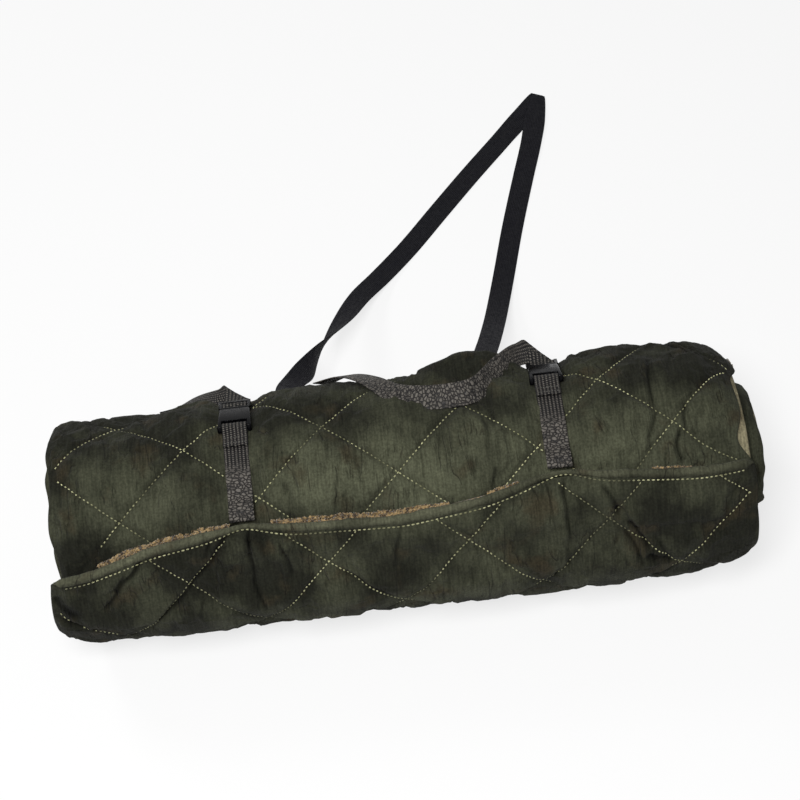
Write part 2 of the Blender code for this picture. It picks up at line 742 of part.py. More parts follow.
def make_prongs(side):
    """Two spring arms with a side button each, on pivots along the buckle's thickness."""
    matrix = buckle_frame(side)
    pivot_x, pivot_y = PRONG_PIVOT
    for letter, way in (("a", -1), ("b", 1)):
        pivot = Vector((way * pivot_x, pivot_y, PRONG_LOW))
        bm = bmesh.new()
        inner, outer = sorted((way * (PRONG_INNER - pivot_x), way * (PRONG_OUTER - pivot_x)))
        high = PRONG_HIGH - PRONG_LOW
        box(bm, (inner, PRONG_TIP - pivot_y, 0), (outer, SOCKET_MOUTH - pivot_y, high))
        prong = add_object(f"buckle_prong_{side}_{letter}", bm, "plastic", matrix @ Matrix.Translation(pivot))
        base, tip = sorted((way * (PRONG_OUTER - GAP - pivot_x), way * (BUTTON_OUTER - pivot_x)))
        rear, front = BUTTON_REAR - pivot_y, BUTTON_FRONT - pivot_y
        boolean(prong, "UNION", (base, rear, STEP_IN), (tip, front, high - STEP_IN))


def ribbon(name, finish, stations, thick=WEBBING, width=WEBBING_WIDTH):
    """Webbing through stations of (middle, direction across, normal); across may be longer than one
    where a fold cuts the webbing slantwise."""
    count = len(stations)

    def place(u, v, w):
        middle, across, normal = stations[round(v)]
        return middle + across * u + normal * (w - 0.5) * thick

    return bent_slab(name, finish, (-width / 2, width / 2), tuple(range(count)), place)


def side_view_stations(points, across=None):
    """Stations of webbing that stays square to the roll, from its middle line. The normal is mitred."""
    across = across or Vector((1, 0, 0))
    stations = []
    for i, point in enumerate(points):
        before = (point - points[i - 1]).normalized() if i else None
        after = (points[i + 1] - point).normalized() if i + 1 < len(points) else None
        ways = [way for way in (before, after) if way]
        normals = [across.cross(way).normalized() for way in ways]
        middle = sum(normals, Vector()).normalized()
        stations.append((point, across, middle / max(0.5, middle.dot(normals[0]))))
    return stations


def local_points(side, pairs):
    matrix = buckle_frame(side)
    return [matrix @ Vector((0, along, height)) for along, height in pairs]


def make_tab(side):
    """Webbing sewn into the hem, which runs up to the socket's bar, and the loop round that bar."""
    x, angle = STRAPS[side]
    hem = hem_angle(x) - 360
    over_pile = -(FLAP_EASE + PILE + GAP * 2 + WEBBING / 2)
    lies = CINCH - GAP - WEBBING / 2
    start = [on_arc(x, hem + TAB_SEWN, over_pile), on_arc(x, hem + PILE_SHOWS + 2, over_pile)]
    rows = rows_between(hem + TAB_LANDS, angle - TAB_LEAVES - 360)
    on_face = [on_roll(x, a, lies) for a in rows]
    rise = local_points(side, TAB_RISE)
    ribbon(f"tab_webbing_{side}", "grey webbing", side_view_stations(start + on_face + rise))
    loop = local_points(side, LOOP_ROUTE)
    ribbon(f"tab_loop_{side}", "grey webbing", side_view_stations(loop))


def surface_station(x, angle, height, way):
    """A station of webbing that lies on the roll and runs this way, given along X and round the roll."""
    turned = math.radians(angle)
    outward = Vector((0, -math.cos(turned), math.sin(turned)))
    back = Vector((0, math.sin(turned), math.cos(turned)))
    along = (Vector((1, 0, 0)) * way[0] + back * way[1]).normalized()
    middle = on_arc(x, angle - 360, -height)
    return middle, along, outward


def tail_stations(points, over):
    """Stations along a free end that has been folded, so that its underside faces out."""
    stations = []
    for i, (x, angle, height) in enumerate(points):
        x0, angle0, _ = points[max(0, i - 1)]
        x1, angle1, _ = points[min(len(points) - 1, i + 1)]
        round_way = math.radians(angle1 - angle0) * face_radius(angle - 360)
        middle, along, outward = surface_station(x, angle, height + over, (x1 - x0, round_way))
        stations.append((middle, outward.cross(along), -outward))
    return stations


def make_cinch(side):
    """One length of webbing: sewn on at the back, up to the ladder bars, round them, and its free end."""
    x, angle = STRAPS[side]
    lies = CINCH - GAP - WEBBING / 2
    rows = rows_between(LOAD_LEAVES[side] - 360, CINCH_TO)
    load = [on_roll(x, a, lies) for a in reversed(rows)]
    ladder = local_points(side, LADDER_ROUTE)
    stations = side_view_stations(load + ladder)
    tail = {"left": LEFT_TAIL, "right": RIGHT_TAIL}[side]
    stations += fold_stations(side, tail[0])
    stations += tail_stations(tail, 0)
    ribbon(f"cinch_webbing_{side}", "grey webbing", stations)


def fold_stations(side, landing):
    """The slantwise fold that turns the free end sideways."""
    x = STRAPS[side][0]
    fold_angle = landing[1]
    turned = math.radians(fold_angle)
    outward = Vector((0, -math.cos(turned), math.sin(turned)))
    back = Vector((0, math.sin(turned), math.cos(turned)))
    right = Vector((1, 0, 0))
    height = landing[2]
    under = 1 if side == "left" else -1
    crease = on_arc(x, fold_angle - 360, -(height + under * (WEBBING / 2 + GAP)))
    before = crease - back * TAIL_FOLD + outward * (under * (WEBBING / 2 + GAP))
    return [(before, right, outward), (crease, right - back, (right + back).normalized() * under)]


def leg_stations(points):
    """Stations of a leg of the shoulder strap, each turned about its own direction by some degrees."""
    stations = []
    for i, (x, y, z, turn) in enumerate(points):
        x0, y0, z0, _ = points[max(0, i - 1)]
        x1, y1, z1, _ = points[min(len(points) - 1, i + 1)]
        along = Vector((x1 - x0, y1 - y0, z1 - z0)).normalized()
        level = Vector((0, 0, 1)).cross(along).normalized()
        across = Matrix.Rotation(math.radians(turn), 3, along) @ level
        stations.append((Vector((x, y, z)), across, across.cross(along)))
    return stations


def make_shoulder_strap():
    """Two feet sewn to the back of the roll, and the loose strap between them."""
    for side, x in FEET.items():
        across = (x - WEBBING_WIDTH / 2, x + WEBBING_WIDTH / 2)
        bent_slab(
            f"carry_foot_{side}",
            "black webbing",
            across,
            rows_between(FOOT_FROM, FOOT_TO),
            lambda u, a, w: on_roll(u, a, -GAP - FOOT_THICK * w),
        )
    stations = [foot_station("left", -1)]
    stations += leg_stations(LEFT_LEG)
    stations.append(peak_station())
    stations += leg_stations(RIGHT_LEG)
    stations.append(foot_station("right", 1))
    ribbon("carry_strap", "black webbing", stations)


def foot_station(side, way):
    """Where the strap leaves its foot, just under the foot's lower end."""
    turned = math.radians(FOOT_FROM)
    outward = Vector((0, -math.cos(turned), math.sin(turned)))
    lower = on_roll(FEET[side], FOOT_TO + FOOT_GAP, -GAP - WEBBING / 2)
    return lower, Vector((way, 0, 0)), -outward


def peak_station():
    """The fold on the ground, gathered narrower than the webbing."""
    out = Vector(FOLD_DIRECTION).normalized()
    return Vector(FOLD), Vector((out.y, -out.x, 0)) * FOLD_GATHER, -out


CENTRE_HEIGHT = face_radius(-90) * math.cos(math.radians(BASE_HALF))

clear_scene()
SACK = new_collection("hunting_sitting_bag")
CUTTERS = new_collection("cutters")
make_panels()
make_seams()
make_zip()
make_slider()
for strap_side in STRAPS:
    make_socket(strap_side)
    make_plug(strap_side)
    make_prongs(strap_side)
    make_tab(strap_side)
    make_cinch(strap_side)
make_shoulder_strap()
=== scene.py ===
import math

import bmesh
import bpy
import numpy as np
from mathutils import Matrix, Vector, noise


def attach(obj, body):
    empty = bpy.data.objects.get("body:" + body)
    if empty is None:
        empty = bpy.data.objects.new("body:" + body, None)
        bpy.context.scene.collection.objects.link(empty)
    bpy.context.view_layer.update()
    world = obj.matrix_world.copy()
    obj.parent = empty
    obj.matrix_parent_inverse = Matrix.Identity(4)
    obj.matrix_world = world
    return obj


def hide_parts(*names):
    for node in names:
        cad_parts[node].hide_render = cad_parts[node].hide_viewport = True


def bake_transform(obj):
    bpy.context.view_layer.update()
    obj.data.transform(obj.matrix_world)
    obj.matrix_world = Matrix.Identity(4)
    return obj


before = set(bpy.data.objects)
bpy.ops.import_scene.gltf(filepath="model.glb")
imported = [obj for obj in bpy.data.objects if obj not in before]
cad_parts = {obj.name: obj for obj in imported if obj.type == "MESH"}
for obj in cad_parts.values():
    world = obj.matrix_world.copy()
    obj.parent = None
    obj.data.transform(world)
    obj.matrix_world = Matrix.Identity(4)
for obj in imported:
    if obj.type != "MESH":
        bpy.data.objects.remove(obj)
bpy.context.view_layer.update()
rng = np.random.default_rng(11)

# The photo's view
CAMERA_ABOVE = 58.0
CAMERA_ROLLED = 6.6
CAMERA_AWAY = 2.25
CAMERA_AIM = (0.0095, 0.138, 0.06)
CAMERA_LENS = 92.7

# Sizes shared with the solids, in metres and degrees
PANEL_WIDTH = 0.700
HALF = PANEL_WIDTH / 2
QUILT = 0.0075
PILE = 0.0055
SEAM_WIDTH = 0.005
ZIP_MARGIN = 0.0155
COIL_INSET = 0.0030
COIL_WIDTH = 0.0014
COIL_SPLIT = 0.0016
GAP = 0.0003
BACK_PILE = QUILT + GAP
FRONT_PILE = BACK_PILE + PILE + GAP
FRONT_QUILT = FRONT_PILE + PILE + GAP
TURN = FRONT_QUILT + QUILT + GAP
ROLL_RADIUS = 0.1245
BASE_HALF = 18
CORE = -3.4 * 360
TELESCOPE = 0.017
DRAWN_BACK = 0.008
DRAWN_AT_FRONT = 0.0065
FLAP_CORNER = 0.012
FLAP = 45
FLAP_EASE = 0.0018
FLAP_SETTLES = 24
HEM_WIDTH = 5.0
FRONT_END = -8.0
FRONT_HEM_WIDTH = 5.0
ZIP_BOTTOM = -936.0
FOOT_FROM = -214.0
FOOT_TO = -201.0
WEBBING_WIDTH = 0.025
WEBBING = 0.0012
CINCH = 0.004
CINCH_TO = -162.0
LADDER_LEAVES = {"left": 144.0, "right": 156.0}
STRAPS = {"left": (-0.158, 117.0), "right": (0.158, 127.0)}
FEET = {"left": -0.108, "right": 0.101}
TAB_LANDS = 14.0
TAB_LEAVES = 31.0
HEM_LINE = (
    (-0.350, 30.5), (-0.320, 33.5), (-0.285, 39.0), (-0.250, 44.5), (-0.190, 49.0), (-0.158, 51.8),
    (-0.108, 48.3), (0.000, 46.0), (0.077, 50.4), (0.142, 59.2), (0.165, 60.5), (0.197, 57.3),
    (0.290, 53.0), (0.325, 53.2), (0.350, 53.8),
)

# Routes of the webbing, as in the solids
TAB_RISE = ((-0.037, -0.0063), (-0.0265, -0.0013))
LOOP_ROUTE = (
    (-0.0245, 0.0014), (-0.0181, 0.0016), (-0.0168, 0.0042), (-0.0181, 0.0069), (-0.0238, 0.0069),
    (-0.0300, 0.0003), (-0.0364, -0.0027), (-0.0420, -0.0052),
)
LADDER_ROUTE = (
    (0.0285, -0.0003), (0.0155, 0.0006), (0.0143, 0.0033), (0.0155, 0.0061), (0.0216, 0.0061),
    (0.0226, 0.0042), (0.0216, 0.0024), (0.0275, 0.0022), (0.0330, 0.0012),
)
LEFT_TAIL = ((-0.1815, 151.0, 0.0048), (-0.2085, 158.0, 0.0060), (-0.2365, 164.0, 0.0025))
RIGHT_TAIL = (
    (0.1375, 141.0, 0.0135), (0.1135, 127.5, 0.0090), (0.0835, 109.5, 0.0090), (0.0535, 108.0, 0.0080),
    (0.0235, 111.3, 0.0060), (0.0015, 119.0, 0.0050), (-0.0185, 131.0, 0.0080), (-0.0435, 145.0, 0.0100),
    (-0.0705, 157.0, 0.0060),
)
TAILS = {"left": LEFT_TAIL, "right": RIGHT_TAIL}
TAIL_FOLD = 0.013
TAIL_TILTS = {"left": (42, 30, 8), "right": (58, 58, 50, 44, 30, 10)}
LEFT_LEG = (
    (-0.1065, 0.127, 0.128, 0), (-0.1005, 0.143, 0.114, 6), (-0.0895, 0.166, 0.097, 36),
    (-0.0745, 0.199, 0.078, 88), (-0.0585, 0.233, 0.060, 132), (-0.0425, 0.268, 0.041, 162),
    (-0.0225, 0.308, 0.021, 178), (0.0035, 0.343, 0.006, 180), (0.0365, 0.380, 0.0009, 180),
    (0.0825, 0.433, 0.0009, 180), (0.1245, 0.481, 0.0009, 180), (0.1700, 0.531, 0.0009, 180),
    (0.1975, 0.562, 0.0009, 180),
)
RIGHT_LEG = (
    (0.2130, 0.555, 0.0026, 0), (0.2030, 0.517, 0.0026, 0), (0.1885, 0.472, 0.0012, 0),
    (0.1645, 0.394, 0.0009, 0), (0.1465, 0.328, 0.0030, 0), (0.1370, 0.290, 0.013, 0),
    (0.1285, 0.252, 0.033, 0), (0.1205, 0.215, 0.060, 0), (0.1135, 0.183, 0.086, 0),
    (0.1070, 0.156, 0.108, 0), (0.1025, 0.137, 0.122, 0), (0.1010, 0.127, 0.130, 0),
)
FOLD = (0.2215, 0.593, 0.00175)
FOLD_DIRECTION = (1.0, 2.4, 0.0)
FOLD_GATHER = 0.6

# Where the weave turns pebbled, in metres along each closing strap and each tab
PEBBLED_STRAPS = {"left": (0.30, 0.40), "right": (0.185, 0.225)}
PEBBLED_TABS = (0.066, 0.046)

# Quilting: squares on their points, which lean as the panel rolls
SQUARE_HALF = 0.070
SQUARE_TURN = 35.3
SQUARES_FROM = 26.5
SQUARES_START = (-0.0786, 0.0081)
LEAN = (24, 14)
LEAN_FROM = 26
LEAN_OVER = 316
SEAM_DEPTH = 0.0034
PUFF = 0.0052
PUFF_OVER = 0.0085

# The shell's grid, in degrees and rows or columns, and how short of the hem it ends
SHELL_STARTS = -345.0
SHELL_STEP = 0.94
SHELL_COLUMNS = 341
FLAP_ROWS = 50
SHELL_ENDS_SHORT = HEM_WIDTH - 1.2
EDGE_ARC = 6
EDGE_STATIONS = (0, 0.012, 0.03, 0.06, 0.12, 0.3, 0.5, 0.7, 0.85, 0.9, 0.93, 0.955, 0.975, 0.99, 1)

# Where the shell stands up under the right tail: how high, then its place and angle with their spreads
CREST = (0.0175, 0.086, 0.033, -222.0, 8.0)

# The shell's slack, from a coarse sheet of cloth: how much wider it is cut, and how far it may move
CLOTH_SLACK = 0.05
CLOTH_FRAMES = 18
CLOTH_EVERY = 2
CLOTH_HELD = 0.03
CLOTH_OUT_OR_IN = 0.0026
CLOTH_SIDEWAYS = 0.0030
CLOTH = {
    "quality": 6, "mass": 0.05, "tension_stiffness": 40, "compression_stiffness": 40, "shear_stiffness": 5,
    "bending_stiffness": 0.02, "air_damping": 1.0, "pin_stiffness": 1.0, "shrink_min": -CLOTH_SLACK,
    "shrink_max": -CLOTH_SLACK, "use_pressure": True, "uniform_pressure_force": 0.3,
}

# Where pile shows past the hem: from, to, how far, as places along the roll and metres
FRINGE = ((-0.305, -0.172, 0.0050), (-0.130, 0.046, 0.0052), (0.085, 0.116, 0.0042), (0.248, 0.287, 0.0016))
CURLS_PER_METRE = 9000

# Stitches: half sizes and pitches; the tabs' rows lie along the strap and outwards in the buckle's frame
STITCH = (0.0015, 0.00082, 0.00055)
STITCH_PITCH = 0.0048
TAB_STITCH = (0.0010, 0.00042, 0.00034)
TAB_STITCH_PITCH = 0.0027
TAB_SEAMS = ((-0.0330, -0.00045), (-0.0385, -0.00300))
TAB_SEAM_HALF = 0.0108

# Webbing
RIBS = 7
RIB_HEIGHT = 0.00022


def turns(t):
    """How many turns out a place is; the stretch that lies on the ground adds none."""
    whole = np.floor((t + 90 + BASE_HALF) / 360)
    rest = t + 90 + BASE_HALF - 360 * whole
    return whole + np.maximum(0, rest - 2 * BASE_HALF) / (360 - 2 * BASE_HALF)


def face_radius(t):
    return ROLL_RADIUS + TURN * (turns(t) - turns(0.0))


CENTRE_HEIGHT = float(face_radius(-90.0)) * math.cos(math.radians(BASE_HALF))


def smooth_step(low, high, value):
    share = np.clip((value - low) / (high - low), 0, 1)
    return share * share * (3 - 2 * share)


def hill(value, centre, spread):
    return np.exp(-0.5 * ((value - centre) / spread) ** 2)


def narrowing(x, t):
    """The share of the radius lost where the roll's ends round off, most at the upper back."""
    back = 1 + 0.9 * (1 + np.cos(np.radians(t - 145))) / 2
    right = 0.085 * back * (np.maximum(0, x - 0.285) / 0.065) ** 2
    left = 0.045 * (np.maximum(0, -0.312 - x) / 0.038) ** 2
    return np.minimum(right + left, 0.3)


# Where the outer turn stands off a true round: place along the roll, angle, their spreads and how far
SWELLS = (
    (0.272, -216.0, 0.044, 34.0, 0.0075), (-0.270, -218.0, 0.042, 34.0, -0.0100),
    (0.320, -32.0, 0.050, 24.0, -0.0060), (0.020, -215.0, 0.050, 20.0, 0.0020),
)


def swell(x, t):
    return sum(
        high * hill(x, at_x, far_x) * hill(t, at_t, far_t) for at_x, at_t, far_x, far_t, high in SWELLS
    )


def end_shift(t):
    """How far the right ends of the inner turns stand out, and the outer turn's end draws back."""
    turns_in = turns(0.0) - turns(t)
    inner = TELESCOPE * np.clip((turns_in - 0.65) / 1.2, 0, 1)
    outer = DRAWN_BACK * smooth_step(-318, -290, t) * (1 - smooth_step(-252, -236, t))
    return inner, outer + DRAWN_AT_FRONT * hill(t, -297.0, 8.0)


def roll_place(x, t, depth):
    """Places at these distances along the roll, angles and depths under its outer face."""
    radius = (face_radius(t) - depth) * (1 - narrowing(x, t))
    from_base = (t + 270) % 360 - 180
    on_ground = np.cos(np.radians(BASE_HALF)) / np.cos(np.radians(from_base))
    radius = radius * np.where(np.abs(from_base) < BASE_HALF, on_ground, 1) + swell(x, t)
    turned = np.radians(t)
    return np.stack([x + 0 * t, -radius * np.cos(turned), CENTRE_HEIGHT + radius * np.sin(turned)], axis=-1)


def slipped(x, t, drawn=1.0):
    """Where a place on a flat panel comes to along the roll, as its turns slip past each other."""
    inner, outer = end_shift(t)
    right = smooth_step(0.20, 0.35, x)
    left = smooth_step(-0.25, -0.35, x)
    flap_corner = FLAP_CORNER * hill(t, 2.0, 17.0) * left**2
    return x + (inner - outer * drawn) * right + inner * left - flap_corner


def hem_angle(x):
    knots = np.array(HEM_LINE)
    spread = np.linspace(-0.012, 0.012, 9)
    return np.mean([np.interp(x + s, knots[:, 0], knots[:, 1]) for s in spread], axis=0)


def flap_drop(t):
    """How far the flap sinks onto the turn beneath it, where the front panel has ended."""
    return (TURN - FRONT_PILE + GAP - FLAP_EASE) * smooth_step(0, FLAP_SETTLES, t)


def on_face(x, t, depth, drawn=1.0):
    """A place under the face of the back panel, which ends in the flap."""
    return roll_place(slipped(x, t, drawn), t, depth + flap_drop(t))


def point_on_roll(x, t, depth):
    return Vector(roll_place(np.float64(x), np.float64(t), depth))


def ripple(x, y, seed, size):
    """Smooth noise between about -1 and 1 over arrays of places."""
    flat = zip((x / size).ravel(), (y / size).ravel())
    values = [noise.noise((a, b, seed * 7.3)) for a, b in flat]
    return np.array(values).reshape(x.shape) * 1.6


def new_mesh(name, points, uv):
    """A grid of quads through rows of points, with a UV map in metres."""
    rows, columns = points.shape[:2]
    bm = bmesh.new()
    bm.loops.layers.uv.new("UVMap")
    bmesh.ops.create_grid(bm, x_segments=columns - 1, y_segments=rows - 1, size=1, calc_uvs=True)
    mesh = bpy.data.meshes.new(name)
    bm.to_mesh(mesh)
    bm.free()
    mesh.vertices.foreach_set("co", points.astype(np.float32).ravel())
    corners = np.zeros(len(mesh.loops), np.int32)
    mesh.loops.foreach_get("vertex_index", corners)
    mesh.uv_layers[0].data.foreach_set("uv", uv.reshape(-1, 2)[corners].astype(np.float32).ravel())
    return mesh


def seal(mesh):
    """Joins a grid whose columns run round a cross-section into one closed skin."""
    bm = bmesh.new()
    bm.from_mesh(mesh)
    bmesh.ops.remove_doubles(bm, verts=bm.verts, dist=1e-6)
    rim = [edge for edge in bm.edges if edge.is_boundary]
    caps = bmesh.ops.holes_fill(bm, edges=rim, sides=0)["faces"]
    bmesh.ops.triangulate(bm, faces=caps)
    bm.to_mesh(mesh)
    bm.free()


def in_scene(name, data):
    made = bpy.data.objects.new(name, data)
    bpy.context.scene.collection.objects.link(made)
    return made


def add_piece(name, mesh, material, body="rolled_sack", sharp=None):
    """A finished piece with its material, which rides on a body of the model."""
    mesh.materials.append(material)
    mesh.shade_smooth()
    if sharp:
        mesh.set_sharp_from_angle(angle=math.radians(sharp))
    piece = in_scene(name, mesh)
    if body:
        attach(piece, body)
    return piece


def mesh_from(bm, name):
    mesh = bpy.data.meshes.new(name)
    bm.to_mesh(mesh)
    bm.free()
    return mesh


def unit(vectors):
    return vectors / np.maximum(1e-9, np.linalg.norm(vectors, axis=-1, keepdims=True))


def strewn(name, middles, frames, sizes):
    """Small rounded grains in one mesh, each with its place, its three directions and its half sizes."""
    bm = bmesh.new()
    bmesh.ops.create_icosphere(bm, subdivisions=1, radius=1)
    grain = mesh_from(bm, "grain")
    corners = np.zeros(len(grain.vertices) * 3, np.float32)
    grain.vertices.foreach_get("co", corners)
    bm = bmesh.new()
    for _ in range(len(middles)):
        bm.from_mesh(grain)
    bpy.data.meshes.remove(grain)
    mesh = mesh_from(bm, name)
    shaped = corners.reshape(1, -1, 3) * sizes[:, None, :]
    points = middles[:, None, :] + np.einsum("nij,nkj->nki", frames, shaped)
    mesh.vertices.foreach_set("co", points.astype(np.float32).ravel())
    return mesh


def paint_attribute(mesh, name, values):
    layer = mesh.attributes.new(name, "FLOAT", "POINT")
    layer.data.foreach_set("value", values.astype(np.float32).ravel())


def travelled(points, axis):
    """Distances run along a grid's rows or columns."""
    steps = np.linalg.norm(np.diff(points, axis=axis), axis=-1)
    pad = [(0, 0), (0, 0)]
    pad[axis] = (1, 0)
    return np.pad(np.cumsum(steps, axis=axis), pad)


# Shader helpers


def add(tree, kind, sockets=None, **settings):
    """A node with its settings, whose inputs are values or other nodes' outputs."""
    made = tree.nodes.new(kind)
    for key, value in settings.items():
        setattr(made, key, value)
    for key, value in (sockets or {}).items():
        if isinstance(value, bpy.types.NodeSocket):
            tree.links.new(value, made.inputs[key])
        else:
            made.inputs[key].default_value = value
    return made


def maths(tree, operation, a, b=0.0, clamp=False):
    return add(tree, "ShaderNodeMath", {0: a, 1: b}, operation=operation, use_clamp=clamp).outputs[0]


def spread(tree, value, low, high, to_low=0.0, to_high=1.0):
    """A value's range stretched to another, smoothly and without running past it."""
    sockets = {"Value": value, "From Min": low, "From Max": high, "To Min": to_low, "To Max": to_high}
    return add(tree, "ShaderNodeMapRange", sockets, interpolation_type="SMOOTHSTEP").outputs[0]


def mixed(tree, factor, a, b, blend="MIX"):
    """Colours are mixed by a factor; a and b are colours or outputs."""
    a, b = (c if isinstance(c, bpy.types.NodeSocket) else (*c, 1.0) for c in (a, b))
    sockets = {"Factor": factor, 6: a, 7: b}
    return add(tree, "ShaderNodeMix", sockets, data_type="RGBA", blend_type=blend).outputs[2]


def noise_over(tree, place, scale, detail, distortion=0.0):
    sockets = {"Vector": place, "Scale": scale, "Detail": detail, "Distortion": distortion}
    return add(tree, "ShaderNodeTexNoise", sockets).outputs["Fac"]


def stretched_by(tree, place, factors):
    return add(tree, "ShaderNodeVectorMath", {0: place, 1: factors}, operation="MULTIPLY").outputs[0]


def painted(tree, name):
    return add(tree, "ShaderNodeAttribute", attribute_name=name).outputs["Fac"]


def object_place(tree):
    return add(tree, "ShaderNodeTexCoord").outputs["Object"]


def uv_place(tree):
    return add(tree, "ShaderNodeUVMap", uv_map="UVMap").outputs[0]


def grey_of(tree, value):
    """A value as a grey colour."""
    return add(tree, "ShaderNodeCombineColor", {0: value, 1: value, 2: value}).outputs[0]


def new_group(name, inputs, outputs):
    tree = bpy.data.node_groups.new(name, "ShaderNodeTree")
    for label, kind, value in inputs:
        socket = tree.interface.new_socket(label, in_out="INPUT", socket_type=kind)
        if value is not None:
            socket.default_value = value
    for label, kind in outputs:
        tree.interface.new_socket(label, in_out="OUTPUT", socket_type=kind)
    return tree, tree.nodes.new("NodeGroupInput"), tree.nodes.new("NodeGroupOutput")


def use_group(tree, group, sockets):
    return add(tree, "ShaderNodeGroup", sockets, node_tree=group)


def new_material(name, constants):
    """A material, its nodes and its shader, which has these constants."""
    material = bpy.data.materials.new(name)
    material.use_nodes = True
    shader = material.node_tree.nodes["Principled BSDF"]
    for label, value in constants.items():
        shader.inputs[label].default_value = value
    return material, material.node_tree, shader


def bump(tree, shader, height, distance):
    made = add(tree, "ShaderNodeBump", {"Height": height, "Distance": distance, "Strength": 1.0})
    tree.links.new(made.outputs["Normal"], shader.inputs["Normal"])


FLOAT, VECTOR = "NodeSocketFloat", "NodeSocketVector"


def weave_group():
    """A plain weave over a UV map in metres: threads pass over and under each other."""
    tree, given, out = new_group(
        "plain_weave", [("UV", VECTOR, None), ("Pitch", FLOAT, 0.0005)], [("Height", FLOAT)]
    )
    threads = {0: given.outputs["UV"], "Scale": maths(tree, "DIVIDE", math.pi, given.outputs["Pitch"])}
    scaled = add(tree, "ShaderNodeVectorMath", threads, operation="SCALE")
    parts = add(tree, "ShaderNodeSeparateXYZ", {0: scaled.outputs[0]})
    across = maths(tree, "SINE", parts.outputs[0])
    along = maths(tree, "SINE", parts.outputs[1])
    over = maths(tree, "MULTIPLY", across, along)
    tree.links.new(maths(tree, "MULTIPLY_ADD", over, 0.5), out.inputs[0])
    return tree


def webbing_group():
    """Ribbed webbing: columns of short floats, each a step on from the last, or a pebbled face."""
    inputs = [("UV", VECTOR, None), ("Rib", FLOAT, 0.0036), ("Float", FLOAT, 0.003)]
    inputs += [("Lean", FLOAT, 0.5), ("Pebbled", FLOAT, 0.0)]
    tree, given, out = new_group("webbing_weave", inputs, [("Height", FLOAT), ("Top", FLOAT)])
    parts = add(tree, "ShaderNodeSeparateXYZ", {0: given.outputs["UV"]})
    column = maths(tree, "DIVIDE", parts.outputs[0], given.outputs["Rib"])
    rib = maths(tree, "SINE", maths(tree, "MULTIPLY", maths(tree, "FRACT", column), math.pi))
    shift = maths(tree, "MULTIPLY", maths(tree, "FLOOR", column), given.outputs["Lean"])
    row = maths(tree, "ADD", maths(tree, "DIVIDE", parts.outputs[1], given.outputs["Float"]), shift)
    bead = maths(tree, "SINE", maths(tree, "MULTIPLY", maths(tree, "FRACT", row), math.pi))
    round_bead = maths(tree, "POWER", bead, 0.6)
    round_rib = maths(tree, "POWER", rib, 0.7)
    height = maths(tree, "MULTIPLY", round_bead, round_rib)
    pebbly = stretched_by(tree, given.outputs["UV"], (230.0, 330.0, 1.0))
    cells = {"Vector": pebbly, "Scale": 1.0, "Randomness": 0.85}
    gaps = add(tree, "ShaderNodeTexVoronoi", cells, feature="DISTANCE_TO_EDGE").outputs["Distance"]
    pebbles = spread(tree, gaps, 0.0, 0.24)
    both = add(tree, "ShaderNodeMix", {"Factor": given.outputs["Pebbled"], 2: height, 3: pebbles}).outputs[0]
    # Painted highlight and shade: the colour mask is light on the tops of the floats and pebbles and dark in
    # the gaps between them.
    tops = {"Factor": given.outputs["Pebbled"], 2: spread(tree, height, 0.58, 1.0), 3: pebbles}
    tree.links.new(both, out.inputs["Height"])
    tree.links.new(add(tree, "ShaderNodeMix", tops).outputs[0], out.inputs["Top"])
    return tree


def mottle_group():
    """Worn cloth: broad clouds, finer ones in them, streaks round the roll and small creases."""
    labels = ("Broad", "Patches", "Fine", "Streaks", "Creases")
    outputs = [(label, FLOAT) for label in labels]
    tree, given, out = new_group("worn_clouds", [("Place", VECTOR, None)], outputs)
    place = given.outputs["Place"]
    broad = noise_over(tree, place, 17.0, 6.0)
    patches = noise_over(tree, place, 29.0, 5.0)
    fine = noise_over(tree, place, 430.0, 4.0)
    streaks = noise_over(tree, stretched_by(tree, place, (1.0, 0.10, 0.10)), 520.0, 4.0)
    ridges = noise_over(tree, stretched_by(tree, place, (1.0, 0.24, 0.24)), 62.0, 2.5, 0.5)
    off = maths(tree, "ABSOLUTE", maths(tree, "SUBTRACT", ridges, 0.5))
    lines = spread(tree, off, 0.0, 0.022, 1.0, 0.0)
    creases = maths(tree, "MULTIPLY", lines, spread(tree, patches, 0.44, 0.60))
    for label, value in zip(labels, (broad, patches, fine, streaks, creases)):
        tree.links.new(value, out.inputs[label])
    return tree


WEAVE = weave_group()
WEBBING_WEAVE = webbing_group()
MOTTLE = mottle_group()


